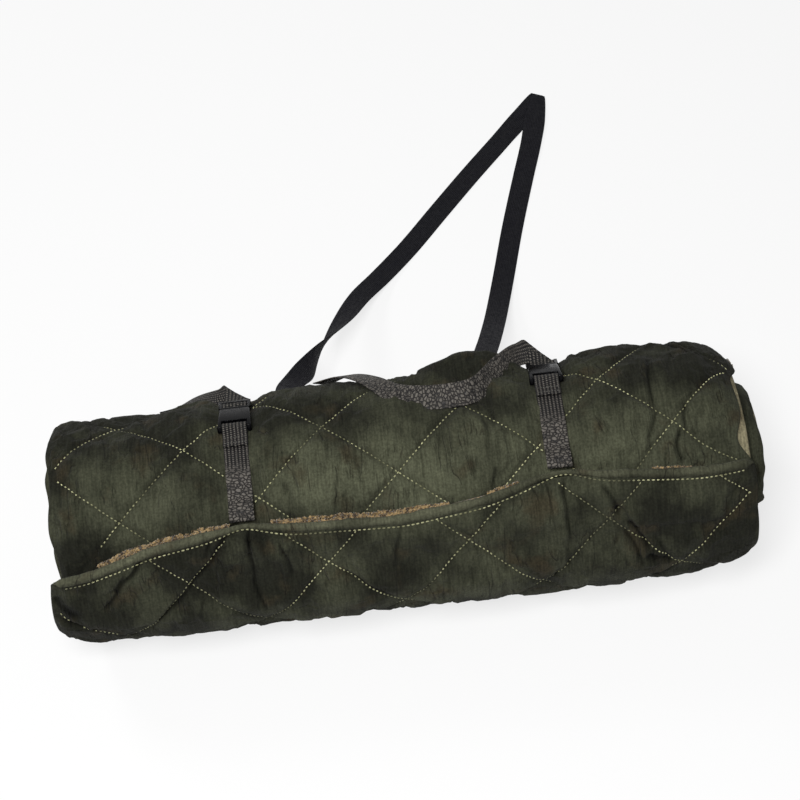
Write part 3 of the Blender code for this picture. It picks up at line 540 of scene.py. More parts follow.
def shell_cloth(name, light, dark, brown, painted_shade_depth):
    """Brushed cotton, blotched brown, with painted light that makes it lighter and painted shade that
    darkens its seams, folds and creases.
    """
    constants = {"Roughness": 0.9, "Specular IOR Level": 0.05, "Sheen Weight": 0.03, "Sheen Roughness": 0.5}
    material, tree, shader = new_material(name, constants)
    clouds = use_group(tree, MOTTLE, {"Place": object_place(tree)})
    cloudy = spread(tree, clouds.outputs["Broad"], 0.30, 0.68, -0.28, 0.28)
    # Painted light: the tone between the dark and the light colour follows the painted light attribute, and
    # random broad clouds move it.
    tone = maths(tree, "ADD", painted(tree, "tone_and_painted_light"), cloudy, clamp=True)
    colour = mixed(tree, tone, dark, light)
    colour = mixed(tree, spread(tree, clouds.outputs["Patches"], 0.54, 0.72, 0.0, 0.7), colour, brown)
    shade = spread(tree, clouds.outputs["Fine"], 0.28, 0.72, 0.78, 1.22)
    shade = maths(tree, "MULTIPLY", shade, spread(tree, clouds.outputs["Streaks"], 0.3, 0.7, 0.81, 1.19))
    colour = mixed(tree, 1.0, colour, grey_of(tree, shade), "MULTIPLY")
    # Painted shade: the colour is darkened along the noise creases and where the painted shade attribute is
    # high, in seams and folds.
    folded = maths(tree, "MULTIPLY", clouds.outputs["Creases"], 0.34)
    sunk = maths(tree, "ADD", maths(tree, "MULTIPLY", painted(tree, "painted_shade"), painted_shade_depth), folded)
    shaded = maths(tree, "SUBTRACT", 1.0, sunk, clamp=True)
    colour = mixed(tree, 1.0, colour, grey_of(tree, shaded), "MULTIPLY")
    tree.links.new(colour, shader.inputs["Base Color"])
    threads = use_group(tree, WEAVE, {"UV": uv_place(tree), "Pitch": 0.00055}).outputs["Height"]
    creased = maths(tree, "MULTIPLY", clouds.outputs["Streaks"], 2.2)
    creased = maths(tree, "SUBTRACT", creased, maths(tree, "MULTIPLY", clouds.outputs["Creases"], 1.6))
    height = maths(tree, "ADD", maths(tree, "MULTIPLY", threads, 0.25), creased)
    bump(tree, shader, maths(tree, "ADD", height, clouds.outputs["Fine"]), 0.0006)
    return material


def pile_cloth(name, light, dark):
    """Curly pile: each curl is a little lighter or darker."""
    constants = {"Roughness": 0.95, "Specular IOR Level": 0.1, "Sheen Weight": 0.3}
    material, tree, shader = new_material(name, constants)
    place = object_place(tree)
    curls = add(tree, "ShaderNodeTexVoronoi", {"Vector": place, "Scale": 420.0})
    colour = mixed(tree, spread(tree, noise_over(tree, place, 260.0, 2.0), 0.35, 0.65), dark, light)
    tree.links.new(colour, shader.inputs["Base Color"])
    bump(tree, shader, curls.outputs["Distance"], 0.0016)
    return material


def webbing_cloth(name, light, dark, rib, run, lean, roughness):
    """Webbing whose ribs, floats or pebbles carry a painted highlight on their tops and painted shade
    between them, unevenly worn.
    """
    material, tree, shader = new_material(name, {"Roughness": roughness, "Specular IOR Level": 0.12})
    sockets = {"UV": uv_place(tree), "Rib": rib, "Float": run, "Lean": lean}
    sockets["Pebbled"] = painted(tree, "pebbled")
    woven = use_group(tree, WEBBING_WEAVE, sockets)
    worn = noise_over(tree, object_place(tree), 240.0, 3.0)
    # Painted highlight on the tops and painted shade in the gaps, varied by the wear noise.
    top = maths(tree, "MULTIPLY", woven.outputs["Top"], spread(tree, worn, 0.25, 0.75, 0.65, 1.2))
    tree.links.new(mixed(tree, top, dark, light), shader.inputs["Base Color"])
    rough = spread(tree, worn, 0.3, 0.7, roughness - 0.1, roughness + 0.12)
    tree.links.new(rough, shader.inputs["Roughness"])
    height = maths(tree, "ADD", woven.outputs["Height"], maths(tree, "MULTIPLY", worn, 0.3))
    bump(tree, shader, height, 0.0005)
    return material


def moulded_plastic(name, colour, roughness):
    """Moulded plastic with a faint grain and scuffs that catch the light."""
    material, tree, shader = new_material(name, {"Roughness": roughness, "Specular IOR Level": 0.07})
    place = object_place(tree)
    scuffs = noise_over(tree, place, 190.0, 5.0)
    worn = tuple(c * 2.0 for c in colour)
    tree.links.new(mixed(tree, spread(tree, scuffs, 0.52, 0.72), colour, worn), shader.inputs["Base Color"])
    rough = spread(tree, scuffs, 0.35, 0.7, roughness - 0.06, roughness + 0.14)
    tree.links.new(rough, shader.inputs["Roughness"])
    bump(tree, shader, noise_over(tree, place, 2600.0, 2.0), 0.00008)
    return material


def thread(name, light, dark):
    """Thread of twisted plies, worn in places and soiled in broad patches."""
    material, tree, shader = new_material(name, {"Roughness": 0.6})
    place = object_place(tree)
    colour = mixed(tree, spread(tree, noise_over(tree, place, 45.0, 3.0), 0.4, 0.62), light, dark)
    soiled = spread(tree, noise_over(tree, place, 9.0, 3.0), 0.47, 0.60, 0.0, 0.9)
    dull = tuple(c * 0.42 for c in dark)
    tree.links.new(mixed(tree, soiled, colour, dull), shader.inputs["Base Color"])
    plies = add(tree, "ShaderNodeTexWave", {"Vector": place, "Scale": 1900.0}, bands_direction="DIAGONAL")
    bump(tree, shader, plies.outputs["Fac"], 0.0001)
    return material


def cast_metal(name, colour):
    """Cast metal, brighter where it is worn."""
    material, tree, shader = new_material(name, {"Roughness": 0.36, "Metallic": 1.0})
    worn = noise_over(tree, object_place(tree), 700.0, 4.0)
    bright = tuple(c * 2.2 for c in colour)
    tree.links.new(mixed(tree, spread(tree, worn, 0.45, 0.7), colour, bright), shader.inputs["Base Color"])
    tree.links.new(spread(tree, worn, 0.3, 0.7, 0.28, 0.5), shader.inputs["Roughness"])
    bump(tree, shader, worn, 0.0001)
    return material


# Cloths: colour at full painted light, dark colour where there is none, brown of the blotches, and how dark
# the painted shade in seams and folds is
OLIVE_SHELL = shell_cloth(
    "olive_shell", (0.095, 0.100, 0.063), (0.0165, 0.0170, 0.0120), (0.042, 0.034, 0.020), 0.72
)
OLIVE_FACING = shell_cloth(
    "olive_facing", (0.112, 0.114, 0.074), (0.028, 0.029, 0.019), (0.060, 0.052, 0.032), 0.55
)
BEIGE_TAPE = shell_cloth(
    "beige_tape", (0.330, 0.295, 0.185), (0.140, 0.125, 0.080), (0.180, 0.145, 0.085), 0.3
)
BROWN_PILE = pile_cloth("brown_pile", (0.400, 0.275, 0.125), (0.050, 0.031, 0.015))

# Webbing: colour of the tops, with painted highlight, and of the gaps, with painted shade, widths of a rib
# and a float, their step and the roughness
GREY_WEBBING = webbing_cloth(
    "grey_webbing", (0.135, 0.123, 0.108), (0.006, 0.006, 0.006), 0.00357, 0.0021, 0.37, 0.5
)
BLACK_WEBBING = webbing_cloth(
    "black_webbing", (0.016, 0.016, 0.022), (0.002, 0.002, 0.003), 0.0019, 0.0024, 0.25, 0.7
)
BLACK_PLASTIC = moulded_plastic("black_plastic", (0.0016, 0.0016, 0.0021), 0.18)
SEAM_THREAD = thread("seam_thread", (0.600, 0.590, 0.330), (0.260, 0.255, 0.130))
DARK_THREAD = thread("dark_thread", (0.200, 0.195, 0.175), (0.110, 0.108, 0.095))
ZIP_COIL = moulded_plastic("zip_coil", (0.085, 0.078, 0.050), 0.42)
ZIP_METAL = cast_metal("zip_metal", (0.110, 0.095, 0.070))


# The outer shell

def edge_profile(low, high, top, thick, stations, arc):
    """Places along the roll and depths, round a layer: over its face, under its right edge, and back."""
    radius = thick / 2
    turn = np.linspace(0, np.pi, arc + 1)[1:-1]
    face = low + radius + np.asarray(stations) * (high - low - thick)
    under = face[:: max(1, len(face) // 14)][::-1]
    x = [face, high - radius + radius * np.sin(turn), under, low + radius - radius * np.sin(turn)]
    depth = [0 * face, radius - radius * np.cos(turn), 0 * under + thick, radius + radius * np.cos(turn)]
    x, depth = np.concatenate(x), top + np.concatenate(depth)
    return np.append(x, x[0]), np.append(depth, depth[0])


def quilt_lattice(t):
    """How far the squares lean at an angle, in degrees to the metre, and where along the roll they start."""
    early = (LEAN_FROM - t) / LEAN_OVER
    return LEAN[0] + LEAN[1] * early, SQUARES_START[0] + SQUARES_START[1] * early


def quilt_seams(x, t):
    """Distances to the nearest seam of each of the two directions, in metres."""
    lean, start = quilt_lattice(t)
    down = (t - SQUARES_FROM - lean * x) / SQUARE_TURN
    along = (x - start) / SQUARE_HALF
    side = SQUARE_HALF * math.sqrt(2)
    rising, falling = (along + down) / 2, (along - down) / 2
    return side * np.abs(rising - np.round(rising)), side * np.abs(falling - np.round(falling))


def cinch_trough(x, t):
    """The closing straps press the shell in, and it swells on both sides of them."""
    pressed = 0
    for side, (centre, _) in STRAPS.items():
        around = smooth_step(-325, -300, t) * (1 - smooth_step(CINCH_TO - 6, CINCH_TO + 18, t))
        away = np.abs(x - centre)
        flat = 1 - smooth_step(0.0135, 0.034, away)
        beside = hill(away, 0.052, 0.022) * 0.35
        pressed = pressed + around * (flat - beside)
    return CINCH * pressed


def shell_lift(x, t):
    """How far the shell stands out from the roll's face, before it is stuffed and creased."""
    one, other = quilt_seams(x, t)
    padded = (1 - np.exp(-one / PUFF_OVER)) * (1 - np.exp(-other / PUFF_OVER))
    edge = smooth_step(0.0, 0.03, HALF - np.abs(x))
    lift = padded * PUFF * (0.35 + 0.65 * edge) - SEAM_DEPTH
    high, at_x, far_x, at_t, far_t = CREST
    pulled_up = high * hill(x, at_x, far_x) * hill(t, at_t, far_t) * (1 - smooth_step(-221, -214, t))
    return lift - cinch_trough(x, t) * 1.25 + pulled_up


def gathered(x, t):
    """Folds that fan out from the sewn ends of the two tabs, down the flap and up the turn above."""
    folds = 0 * x
    for centre, _ in STRAPS.values():
        hem = float(hem_angle(np.array([centre]))[0])
        below = np.maximum(0.0, hem - t) * math.radians(1) * ROLL_RADIUS
        fan = (x - centre) / (0.013 + 0.55 * below)
        reach = np.exp(-below / 0.050) * smooth_step(-0.002, 0.012, below)
        wave = np.cos(fan * 4.4 + 0.6 * np.sin(fan * 2.1 + centre * 9))
        folds += 0.0012 * wave * reach * np.exp(-((fan / 2.4) ** 2)) * (t > 0)
    return folds


def wrinkles(x, t):
    """Fine folds that run round the roll."""
    round_way = np.radians(t) * ROLL_RADIUS
    broad = ripple(x, round_way * 0.42, 1, 0.016)
    fine = ripple(x, round_way * 0.30, 2, 0.0065)
    ridged = 1 - 2 * np.abs(ripple(x, round_way * 0.36, 3, 0.021))
    return 0.0007 * broad + 0.0004 * fine + 0.0006 * ridged


# Sharp folds that the photo shows one by one: from and to, as places along the roll and angles, then
# how deep and how wide they are
CREASES = (
    ((0.2604, 122.0), (0.2625, 86.5), 0.0030, 0.0020),
    ((0.2625, 88.0), (0.2500, 66.0), 0.0022, 0.0018),
    ((0.2857, 76.0), (0.2805, 55.9), 0.0036, 0.0019),
    ((0.2934, 89.0), (0.2913, 72.0), 0.0024, 0.0017),
    ((0.2700, 66.0), (0.2645, 52.5), 0.0018, 0.0017),
    ((0.0880, 96.0), (0.0928, 64.7), 0.0018, 0.0017),
    ((0.0928, 66.0), (0.0911, 51.4), 0.0026, 0.0017),
    ((-0.0602, 80.0), (-0.0631, 53.0), 0.0014, 0.0016),
    ((-0.1134, 72.0), (-0.1097, 53.5), 0.0016, 0.0016),
    ((-0.0384, 96.0), (-0.0396, 70.0), 0.0011, 0.0016),
    ((0.0246, 87.0), (0.0239, 60.0), 0.0010, 0.0016),
    ((-0.2781, 72.0), (-0.2856, 49.0), 0.0013, 0.0018),
    ((-0.1957, 78.0), (-0.1958, 58.0), 0.0012, 0.0018),
    ((0.1597, 55.0), (0.1597, 20.0), 0.0034, 0.0018),
    ((0.1597, 24.0), (0.1577, 2.0), 0.0016, 0.0018),
    ((0.1990, 50.5), (0.2116, 32.0), 0.0030, 0.0020),
    ((0.2048, 42.5), (0.2074, 29.0), 0.0018, 0.0017),
    ((0.2190, 31.0), (0.2415, 9.0), 0.0042, 0.0023),
    ((0.2156, 24.0), (0.2343, 1.0), 0.0036, 0.0021),
    ((0.2449, 18.0), (0.2721, -14.0), 0.0024, 0.0022),
    ((0.2340, 7.2), (0.2625, 2.0), 0.0046, 0.0026),
    ((0.1460, 8.5), (0.1422, -26.0), 0.0024, 0.0022),
    ((0.0622, 12.0), (0.0555, -4.0), 0.0014, 0.0018),
    ((0.0397, 9.5), (0.0319, -9.0), 0.0016, 0.0018),
    ((-0.1520, 49.5), (-0.1547, 19.0), 0.0034, 0.0018),
    ((-0.1547, 22.0), (-0.1473, 2.5), 0.0030, 0.0018),
    ((-0.1235, 42.0), (-0.1171, 17.5), 0.0022, 0.0018),
    ((-0.1420, 47.0), (-0.1400, 26.0), 0.0014, 0.0017),
    ((-0.0019, 42.0), (-0.0162, 18.0), 0.0016, 0.0018),
    ((-0.0676, 17.5), (-0.0141, -1.0), 0.0024, 0.0018),
    ((-0.2590, 40.0), (-0.2830, 26.5), 0.0040, 0.0024),
    ((-0.2810, 27.5), (-0.3050, 13.5), 0.0034, 0.0022),
    ((-0.2740, 34.0), (-0.3010, 21.0), 0.0026, 0.0020),
    ((-0.1700, 49.5), (-0.1972, 31.0), 0.0030, 0.0019),
    ((-0.1960, 32.5), (-0.2210, 17.5), 0.0026, 0.0019),
    ((-0.2190, 19.0), (-0.2812, -10.0), 0.0032, 0.0021),
    ((-0.1895, 47.0), (-0.1985, 34.5), 0.0022, 0.0018),
    ((-0.1810, 48.0), (-0.1850, 38.0), 0.0016, 0.0017),
    ((-0.2102, 12.0), (-0.2114, 1.0), 0.0020, 0.0018),
    ((-0.3490, 9.0), (-0.3163, 1.4), 0.0030, 0.0022),
    ((-0.3170, 1.8), (-0.2890, -12.4), 0.0030, 0.0022),
    ((-0.3480, 19.0), (-0.3240, 10.0), 0.0042, 0.0060),
    ((0.2600, 148.0), (0.3241, 121.0), 0.0034, 0.0030),
    ((0.3350, 45.0), (0.3050, 18.0), 0.0014, 0.0018),
)


def creased(x, t):
    """How deep a place lies in the sharp folds."""
    depth = 0 * x
    shown = np.where(t > 0, t, t + 360)
    for (x0, t0), (x1, t1), deep, wide in CREASES:
        scale = math.radians(1) * ROLL_RADIUS
        dx, dt = x1 - x0, (t1 - t0) * scale
        length = math.hypot(dx, dt)
        away_x, away_t = x - x0, (shown - t0) * scale
        run = (away_x * dx + away_t * dt) / length
        bend = 0.0015 * np.sin(run / length * 5 + x0 * 40)
        off = (away_x * dt - away_t * dx) / length - bend
        along = smooth_step(-0.08, 0.18, run / length) * (1 - smooth_step(0.75, 1.1, run / length))
        depth += deep * along * (np.exp(-((off / wide) ** 2)) - 0.35 * hill(off, wide * 2.6, wide * 1.3))
    return depth


def painted_light_at(x, t):
    """Painted light: the cloth is coloured lighter in a band over the roll's upper front, most in its
    middle, and a little on the flap.
    """
    middle = hill(x, 0.03, 0.16)
    on_flap = (0.08 + 0.14 * middle) * smooth_step(-60, 0, t) + 0.10 * middle * smooth_step(12, 42, t)
    return 0.12 * middle - 0.08 + (0.32 + 0.36 * middle) * hill(t, -294.0, 22.0) + on_flap


def painted_shade_of(x, t, folds):
    """Painted shade in the seams and folds, from 0 on the tops to 1 deepest in them."""
    one, other = quilt_seams(x, t)
    near = np.exp(-np.minimum(one, other) / 0.0026)
    return np.clip(0.34 * near + np.clip(folds, 0, 1) * 360, 0, 1)


def stuffed(places, outward, pinned):
    """Cloth simulation: the cut is wider than the roll, so it puckers between its pinned seams."""
    work = in_scene("shell_at_work", new_mesh("shell_at_work", places, shell_uv(places)))
    held = work.vertex_groups.new(name="held")
    steps = np.round(CLOTH_HELD + (1 - CLOTH_HELD) * pinned.ravel(), 2)
    for weight in np.unique(steps):
        held.add(np.flatnonzero(steps == weight).tolist(), float(weight), "REPLACE")
    cloth = work.modifiers.new("cloth", "CLOTH")
    for key, value in CLOTH.items():
        setattr(cloth.settings, key, value)
    cloth.settings.vertex_group_mass = "held"
    cloth.settings.effector_weights.gravity = 0
    cloth.collision_settings.use_collision = False
    cloth.collision_settings.use_self_collision = False
    cloth.point_cache.frame_start = 1
    cloth.point_cache.frame_end = CLOTH_FRAMES
    scene = bpy.context.scene
    for number in range(1, CLOTH_FRAMES + 1):
        scene.frame_set(number)
    shaped = work.evaluated_get(bpy.context.evaluated_depsgraph_get()).data
    moved = np.zeros(len(shaped.vertices) * 3, np.float32)
    shaped.vertices.foreach_get("co", moved)
    scene.frame_set(1)
    used = work.data
    bpy.data.objects.remove(work)
    bpy.data.meshes.remove(used)
    shift = moved.reshape(places.shape).astype(float) - places
    out = (shift * outward).sum(-1, keepdims=True)
    side = shift - out * outward
    reach = np.maximum(1e-9, np.linalg.norm(side, axis=-1, keepdims=True))
    side *= np.minimum(1, CLOTH_SIDEWAYS / reach)
    return side + outward * np.clip(out, -CLOTH_OUT_OR_IN, CLOTH_OUT_OR_IN)


def stretched(values, rows, columns):
    """Values on a coarse grid carried over to a finer one."""
    last_row, last_column = values.shape[0] - 1, values.shape[1] - 1
    at_rows, at_columns = np.linspace(0, last_row, rows), np.linspace(0, last_column, columns)
    i = np.minimum(at_rows.astype(int), last_row - 1)
    j = np.minimum(at_columns.astype(int), last_column - 1)
    down, along = (at_rows - i)[:, None, None], (at_columns - j)[None, :, None]
    upper = values[i][:, j] * (1 - along) + values[i][:, j + 1] * along
    lower = values[i + 1][:, j] * (1 - along) + values[i + 1][:, j + 1] * along
    return upper * (1 - down) + lower * down


def outward_of(t):
    """Directions out from the roll's middle."""
    turned = np.radians(t)
    return np.stack([0 * t, -np.cos(turned), np.sin(turned)], axis=-1)


SHELL_FACE = {}


def make_shell():
    """The outer turn of the back panel with its flap, from under the flap to the hem."""
    flat_x, flat_depth = edge_profile(-HALF, HALF, 0.0, QUILT, np.linspace(0, 1, SHELL_COLUMNS), EDGE_ARC)
    rolled = np.arange(SHELL_STARTS, 0, SHELL_STEP)
    flap = np.linspace(0, 1, FLAP_ROWS)
    x = np.broadcast_to(flat_x, (len(rolled) + FLAP_ROWS, len(flat_x))).copy()
    ends = hem_angle(flat_x) - SHELL_ENDS_SHORT
    t = np.concatenate([np.broadcast_to(rolled[:, None], (len(rolled), len(flat_x))), flap[:, None] * ends])
    depth = np.broadcast_to(flat_depth, x.shape).copy()
    face = np.clip(1 - depth / QUILT * 2, 0, 1)
    lift = shell_lift(x, t) + wrinkles(x, t)
    last = smooth_step(0.80, 1.0, np.concatenate([np.zeros(len(rolled)), flap]))[:, None]
    lift = lift * (1 - last) + last * -0.0012
    wavy = 0.0030 * ripple(t * 0.0022, np.sign(x) * 0.9, 5, 0.05) * smooth_step(0.30, 0.35, np.abs(x))
    base = on_face(x + wavy, t, depth - lift * face)
    outward = outward_of(t)
    mesh = new_mesh("rolled_shell", base, shell_uv(base))
    one, other = quilt_seams(x, t)
    shift = np.zeros_like(base)
    near = np.exp(-((np.minimum(one, other) / 0.0032) ** 2))
    strapped = np.clip(cinch_trough(x, t) / CINCH * 1.6, 0, 1)
    pinned = np.clip(np.maximum.reduce([near, strapped, last + 0 * x]), 0, 1)
    pinned[:3] = 1
    pinned[:, [0, SHELL_COLUMNS - 1]] = 1
    rows = np.linspace(0, len(x) - 1, len(x) // CLOTH_EVERY).round().astype(int)
    columns = np.arange(0, SHELL_COLUMNS, CLOTH_EVERY)
    coarse = np.ix_(rows, columns)
    moved = stuffed(base[coarse], outward[coarse], pinned[coarse])
    shift[:, :SHELL_COLUMNS] = stretched(moved, len(x), SHELL_COLUMNS) * face[:, :SHELL_COLUMNS, None]
    sharp, fans = creased(x, t), gathered(x, t)
    folds = sharp - 0.6 * np.minimum(0, fans)
    places = base + shift + outward * ((fans - sharp) * face)[..., None]
    places[..., 2] = np.maximum(places[..., 2], 0.0004 + 0.0010 * depth / QUILT)
    mesh.vertices.foreach_set("co", places.astype(np.float32).ravel())
    SHELL_FACE["places"] = places[:, :SHELL_COLUMNS]
    # Painted shade: darker colour in the quilting seams and the folds.
    paint_attribute(mesh, "painted_shade", painted_shade_of(x, t, folds) * face)
    # Painted light: a lighter band over the upper front and on the flap.
    paint_attribute(mesh, "tone_and_painted_light", painted_light_at(x, t))
    seal(mesh)
    shell = add_piece("rolled_shell", mesh, OLIVE_SHELL)
    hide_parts("back_panel_quilt")
    return shell


def on_shell(x, t, height):
    """Points on the finished shell, or this high over it, and the directions out of it there."""
    places = SHELL_FACE["places"]
    rows, columns = places.shape[:2]
    rolled = rows - FLAP_ROWS
    ends = hem_angle(x) - SHELL_ENDS_SHORT
    row = np.where(t < 0, (t - SHELL_STARTS) / SHELL_STEP, rolled + t / ends * (FLAP_ROWS - 1))
    column = (x + HALF - QUILT / 2) / (PANEL_WIDTH - QUILT) * (columns - 1)
    i = np.clip(row.astype(int), 0, rows - 2)
    j = np.clip(column.astype(int), 0, columns - 2)
    down, along = np.clip(row - i, 0, 1)[:, None], np.clip(column - j, 0, 1)[:, None]
    corner, beside, below, across = places[i, j], places[i, j + 1], places[i + 1, j], places[i + 1, j + 1]
    upper, lower = corner * (1 - along) + beside * along, below * (1 - along) + across * along
    point = upper * (1 - down) + lower * down
    out = unit(np.cross(below - beside, across - corner))
    outward = point - np.stack([point[:, 0], 0 * x, 0 * x + CENTRE_HEIGHT], axis=-1)
    out = out * np.sign((out * outward).sum(-1, keepdims=True))
    return point + out * height, out


def shell_uv(points):
    """Distances round each row and along each column."""
    return np.stack([travelled(points, 1), travelled(points, 0)], axis=-1)


# Layers inside the roll

def make_layer(name, node, material, slot, low, high, top, thick, first, last, seed, drawn=1.0, hem=0.0):
    """A rolled layer as a closed skin with soft edges; hem leads its end along the hem's line."""
    flat_x, flat_depth = edge_profile(low, high, top, thick, EDGE_STATIONS, 5)
    rows = int((last - first) / 3.0) + 2
    t = np.broadcast_to(np.linspace(first, last, rows)[:, None], (rows, len(flat_x))).copy()
    x = np.broadcast_to(flat_x, t.shape).copy()
    if hem:
        t = np.where(t > 0, t / last * (hem_angle(x) - hem), t)
    ends = smooth_step(0.31, 0.35, np.abs(x))
    wavy = 0.0024 * ripple(t * 0.0025, np.sign(x) * 0.9, seed, 0.05) * ends * drawn
    sunk = 0.0009 * ripple(t * 0.004, np.sign(x) * 0.9, seed + 1, 0.05) * ends * drawn
    points = on_face(x + wavy, t, flat_depth + sunk, drawn)
    mesh = new_mesh(name, points, shell_uv(points))
    # Painted shade, even over each inner layer, and an even tone: 0.9 for the zip tapes, 0.4 for the others.
    paint_attribute(mesh, "painted_shade", 0.35 + 0.0 * t)
    paint_attribute(mesh, "tone_and_painted_light", (0.9 if drawn == 0 else 0.4) + 0.0 * t)
    seal(mesh)
    layer = add_piece(name, mesh, material)
    if node:
        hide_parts(node)
    return layer


def make_inner_layers():
    """Each with its node, its cloth, its edges along the roll, depth, thickness, first and last angle."""
    last = FRONT_END - FRONT_HEM_WIDTH
    between = PILE * 2 + GAP
    shell, facing = (OLIVE_SHELL, "olive_shell"), (OLIVE_FACING, "olive_facing")
    pile = (BROWN_PILE, "brown_pile")
    full, lined = (-HALF, HALF), (-HALF + SEAM_WIDTH + GAP, HALF - ZIP_MARGIN - GAP)
    left, right = (-HALF, -HALF + SEAM_WIDTH), (HALF - ZIP_MARGIN, HALF)
    layers = (
        ("inner_turns_quilt", None, shell, full, 0, QUILT, CORE, SHELL_STARTS - 1),
        ("lining_panel_quilt", "front_panel_quilt", shell, full, FRONT_QUILT, QUILT, CORE, last),
        ("outer_pile", "back_panel_pile", pile, lined, BACK_PILE, PILE, CORE + 5, FLAP - 2),
        ("lining_pile", "front_panel_pile", pile, lined, FRONT_PILE, PILE, CORE + 5, last),
        ("left_side_binding", "left_side_seam", facing, left, BACK_PILE, between, CORE + 5, last - 0.4),
        ("right_side_binding", "right_side_seam", facing, right, BACK_PILE, between, CORE + 5, ZIP_BOTTOM),
        ("foot_binding", "foot_seam", facing, full, BACK_PILE, between, CORE, CORE + 4),
        ("lining_hem", "front_panel_hem", facing, full, FRONT_PILE, PILE + QUILT, last, FRONT_END),
    )
    for i, (name, node, cloth, edges, top, thick, first, end) in enumerate(layers):
        hem = 3.0 if name == "outer_pile" else 0.0
        make_layer(name, node, *cloth, *edges, top, thick, first, end, 11 + 2 * i, hem=hem)


# The hem, its pile fringe and the stitching


def hem_face(x, up_slope, height):
    """A place by the hem: distances up the roll from its edge and out from the flap's face."""
    t = hem_angle(x) + np.degrees(up_slope / ROLL_RADIUS)
    return roll_place(slipped(x, t), t, flap_drop(t) - height)


def make_hem():
    """The facing rolled over the flap's end, as a soft tube that follows the hem's line."""
    x = np.linspace(-HALF + 0.001, HALF - 0.001, 320)[:, None]
    turn = np.linspace(0, 2 * np.pi, 25)[None, :]
    tight = 1 - 0.55 * sum(hill(np.abs(x - centre), 0.0, 0.020) for centre, _ in STRAPS.values())
    ends = 1 - 0.75 * smooth_step(0.338, 0.349, np.abs(x)) ** 2
    uneven = 0.0006 * ripple(x, 0 * x, 31, 0.012) + 0.0008 * ripple(x, 0 * x, 32, 0.05)
    wide, high = (0.0056 + uneven) * ends * (0.3 + 0.7 * tight), (0.0048 + uneven) * tight * ends
    across = -0.0036 - 0.0020 * tight + wide * np.sin(turn) + 0.0006 * ripple(x, 0 * x, 33, 0.03)
    out = -0.0040 + high * np.cos(turn) + 0.00025 * np.cos(x * 900) * np.cos(turn)
    points = hem_face(x + 0 * turn, across, out)[::-1]
    mesh = new_mesh("back_panel_hem_roll", points, shell_uv(points))
    # Painted shade: the hem tube is darkened on its side that faces in, towards the roll beneath; its tone
    # grows lighter towards the right.
    paint_attribute(mesh, "painted_shade", np.clip(0.92 - 1.15 * np.cos(turn - 0.95), 0, 1) + 0 * x)
    paint_attribute(mesh, "tone_and_painted_light", 0.35 + 0.35 * smooth_step(-0.2, 0.1, x) + 0 * turn)
    seal(mesh)
    hem = add_piece("back_panel_hem_roll", mesh, OLIVE_FACING)
    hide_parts("back_panel_hem")


def make_fringe():
    """Curls of pile that stand out from under the hem."""
    places, sizes = [], []
    for low, high, reach in FRINGE:
        count = int((high - low) * CURLS_PER_METRE)
        x = rng.uniform(low, high, count)
        ends = smooth_step(low, low + 0.03, x) * (1 - smooth_step(high - 0.03, high, x))
        far = reach * (0.25 + 0.75 * ends) * (0.75 + 0.25 * np.sin(x * 130) * np.sin(x * 41))
        up_slope = -0.003 + rng.random(count) * (far + 0.003)
        lowest = -(TURN - FRONT_PILE + PILE) + 0.0035
        room = 0.0050 - 0.45 * np.maximum(0.0, up_slope)
        places.append(hem_face(x, up_slope, lowest + 0.0020 + rng.random(count) * room))
        sizes.append(rng.uniform(0.0006, 0.00125, count)[:, None] * (1.7, 1, 1))
    middles, sizes = np.concatenate(places), np.concatenate(sizes)
    turned = np.linalg.qr(rng.normal(size=(len(middles), 3, 3)))[0]
    turned[..., 0] *= np.linalg.det(turned)[:, None]
    fringe = add_piece("pile_fringe", strewn("pile_fringe", middles, turned, sizes), BROWN_PILE)


def sewn(name, lines, half_size=STITCH, pitch=STITCH_PITCH, material=SEAM_THREAD, body="rolled_sack"):
    """Stitches along lines of points, each line with its directions out of the cloth."""
    middles, frames = [], []
    for line, out in lines:
        run = np.concatenate([[0], np.cumsum(np.linalg.norm(np.diff(line, axis=0), axis=1))])
        spots = np.arange(pitch / 2, run[-1], pitch)
        middle, ahead, up = (
            np.stack([np.interp(d, run, values[:, i]) for i in range(3)], axis=-1)
            for d, values in ((spots, line), (spots + 0.0008, line), (spots, out))
        )
        along = unit(ahead - middle)
        side = unit(np.cross(up, along))
        middles.append(middle)
        frames.append(np.stack([along, side, np.cross(along, side)], axis=-1))
    middles, frames = np.concatenate(middles), np.concatenate(frames)
    sizes = np.tile(half_size, (len(middles), 1))
    sizes[:, 0] *= rng.uniform(0.85, 1.1, len(middles))
    return add_piece(name, strewn(name, middles, frames, sizes), material, body)


def seam_points(way, number):
    """One quilting seam as places along the roll for each angle; way is 1 or -1 for the two directions."""
    t = np.arange(SHELL_STARTS + 30, 62, 0.6)
    lean, start = quilt_lattice(t)
    x = (2 * number + start / SQUARE_HALF - way * (t - SQUARES_FROM) / SQUARE_TURN) / (
        1 / SQUARE_HALF - way * lean / SQUARE_TURN
    )
    shown = (np.abs(x) < HALF - 0.006) & (t < hem_angle(x) - HEM_WIDTH - 0.6)
    for centre, _ in STRAPS.values():
        shown &= (np.abs(x - centre) > WEBBING_WIDTH / 2) | (t > CINCH_TO) | (t < -312)
    return x, t, shown


def make_stitches():
    lines = []
    for way in (1, -1):
        for number in range(-12, 13):
            x, t, shown = seam_points(way, number)
            starts = np.flatnonzero(np.diff(np.concatenate([[False], shown, [False]]).astype(int)))
            for first, last in starts.reshape(-1, 2):
                if last - first > 6:
                    lines.append(on_shell(x[first:last], t[first:last], 0.00015))
    stitches = sewn("quilting_stitches", lines)


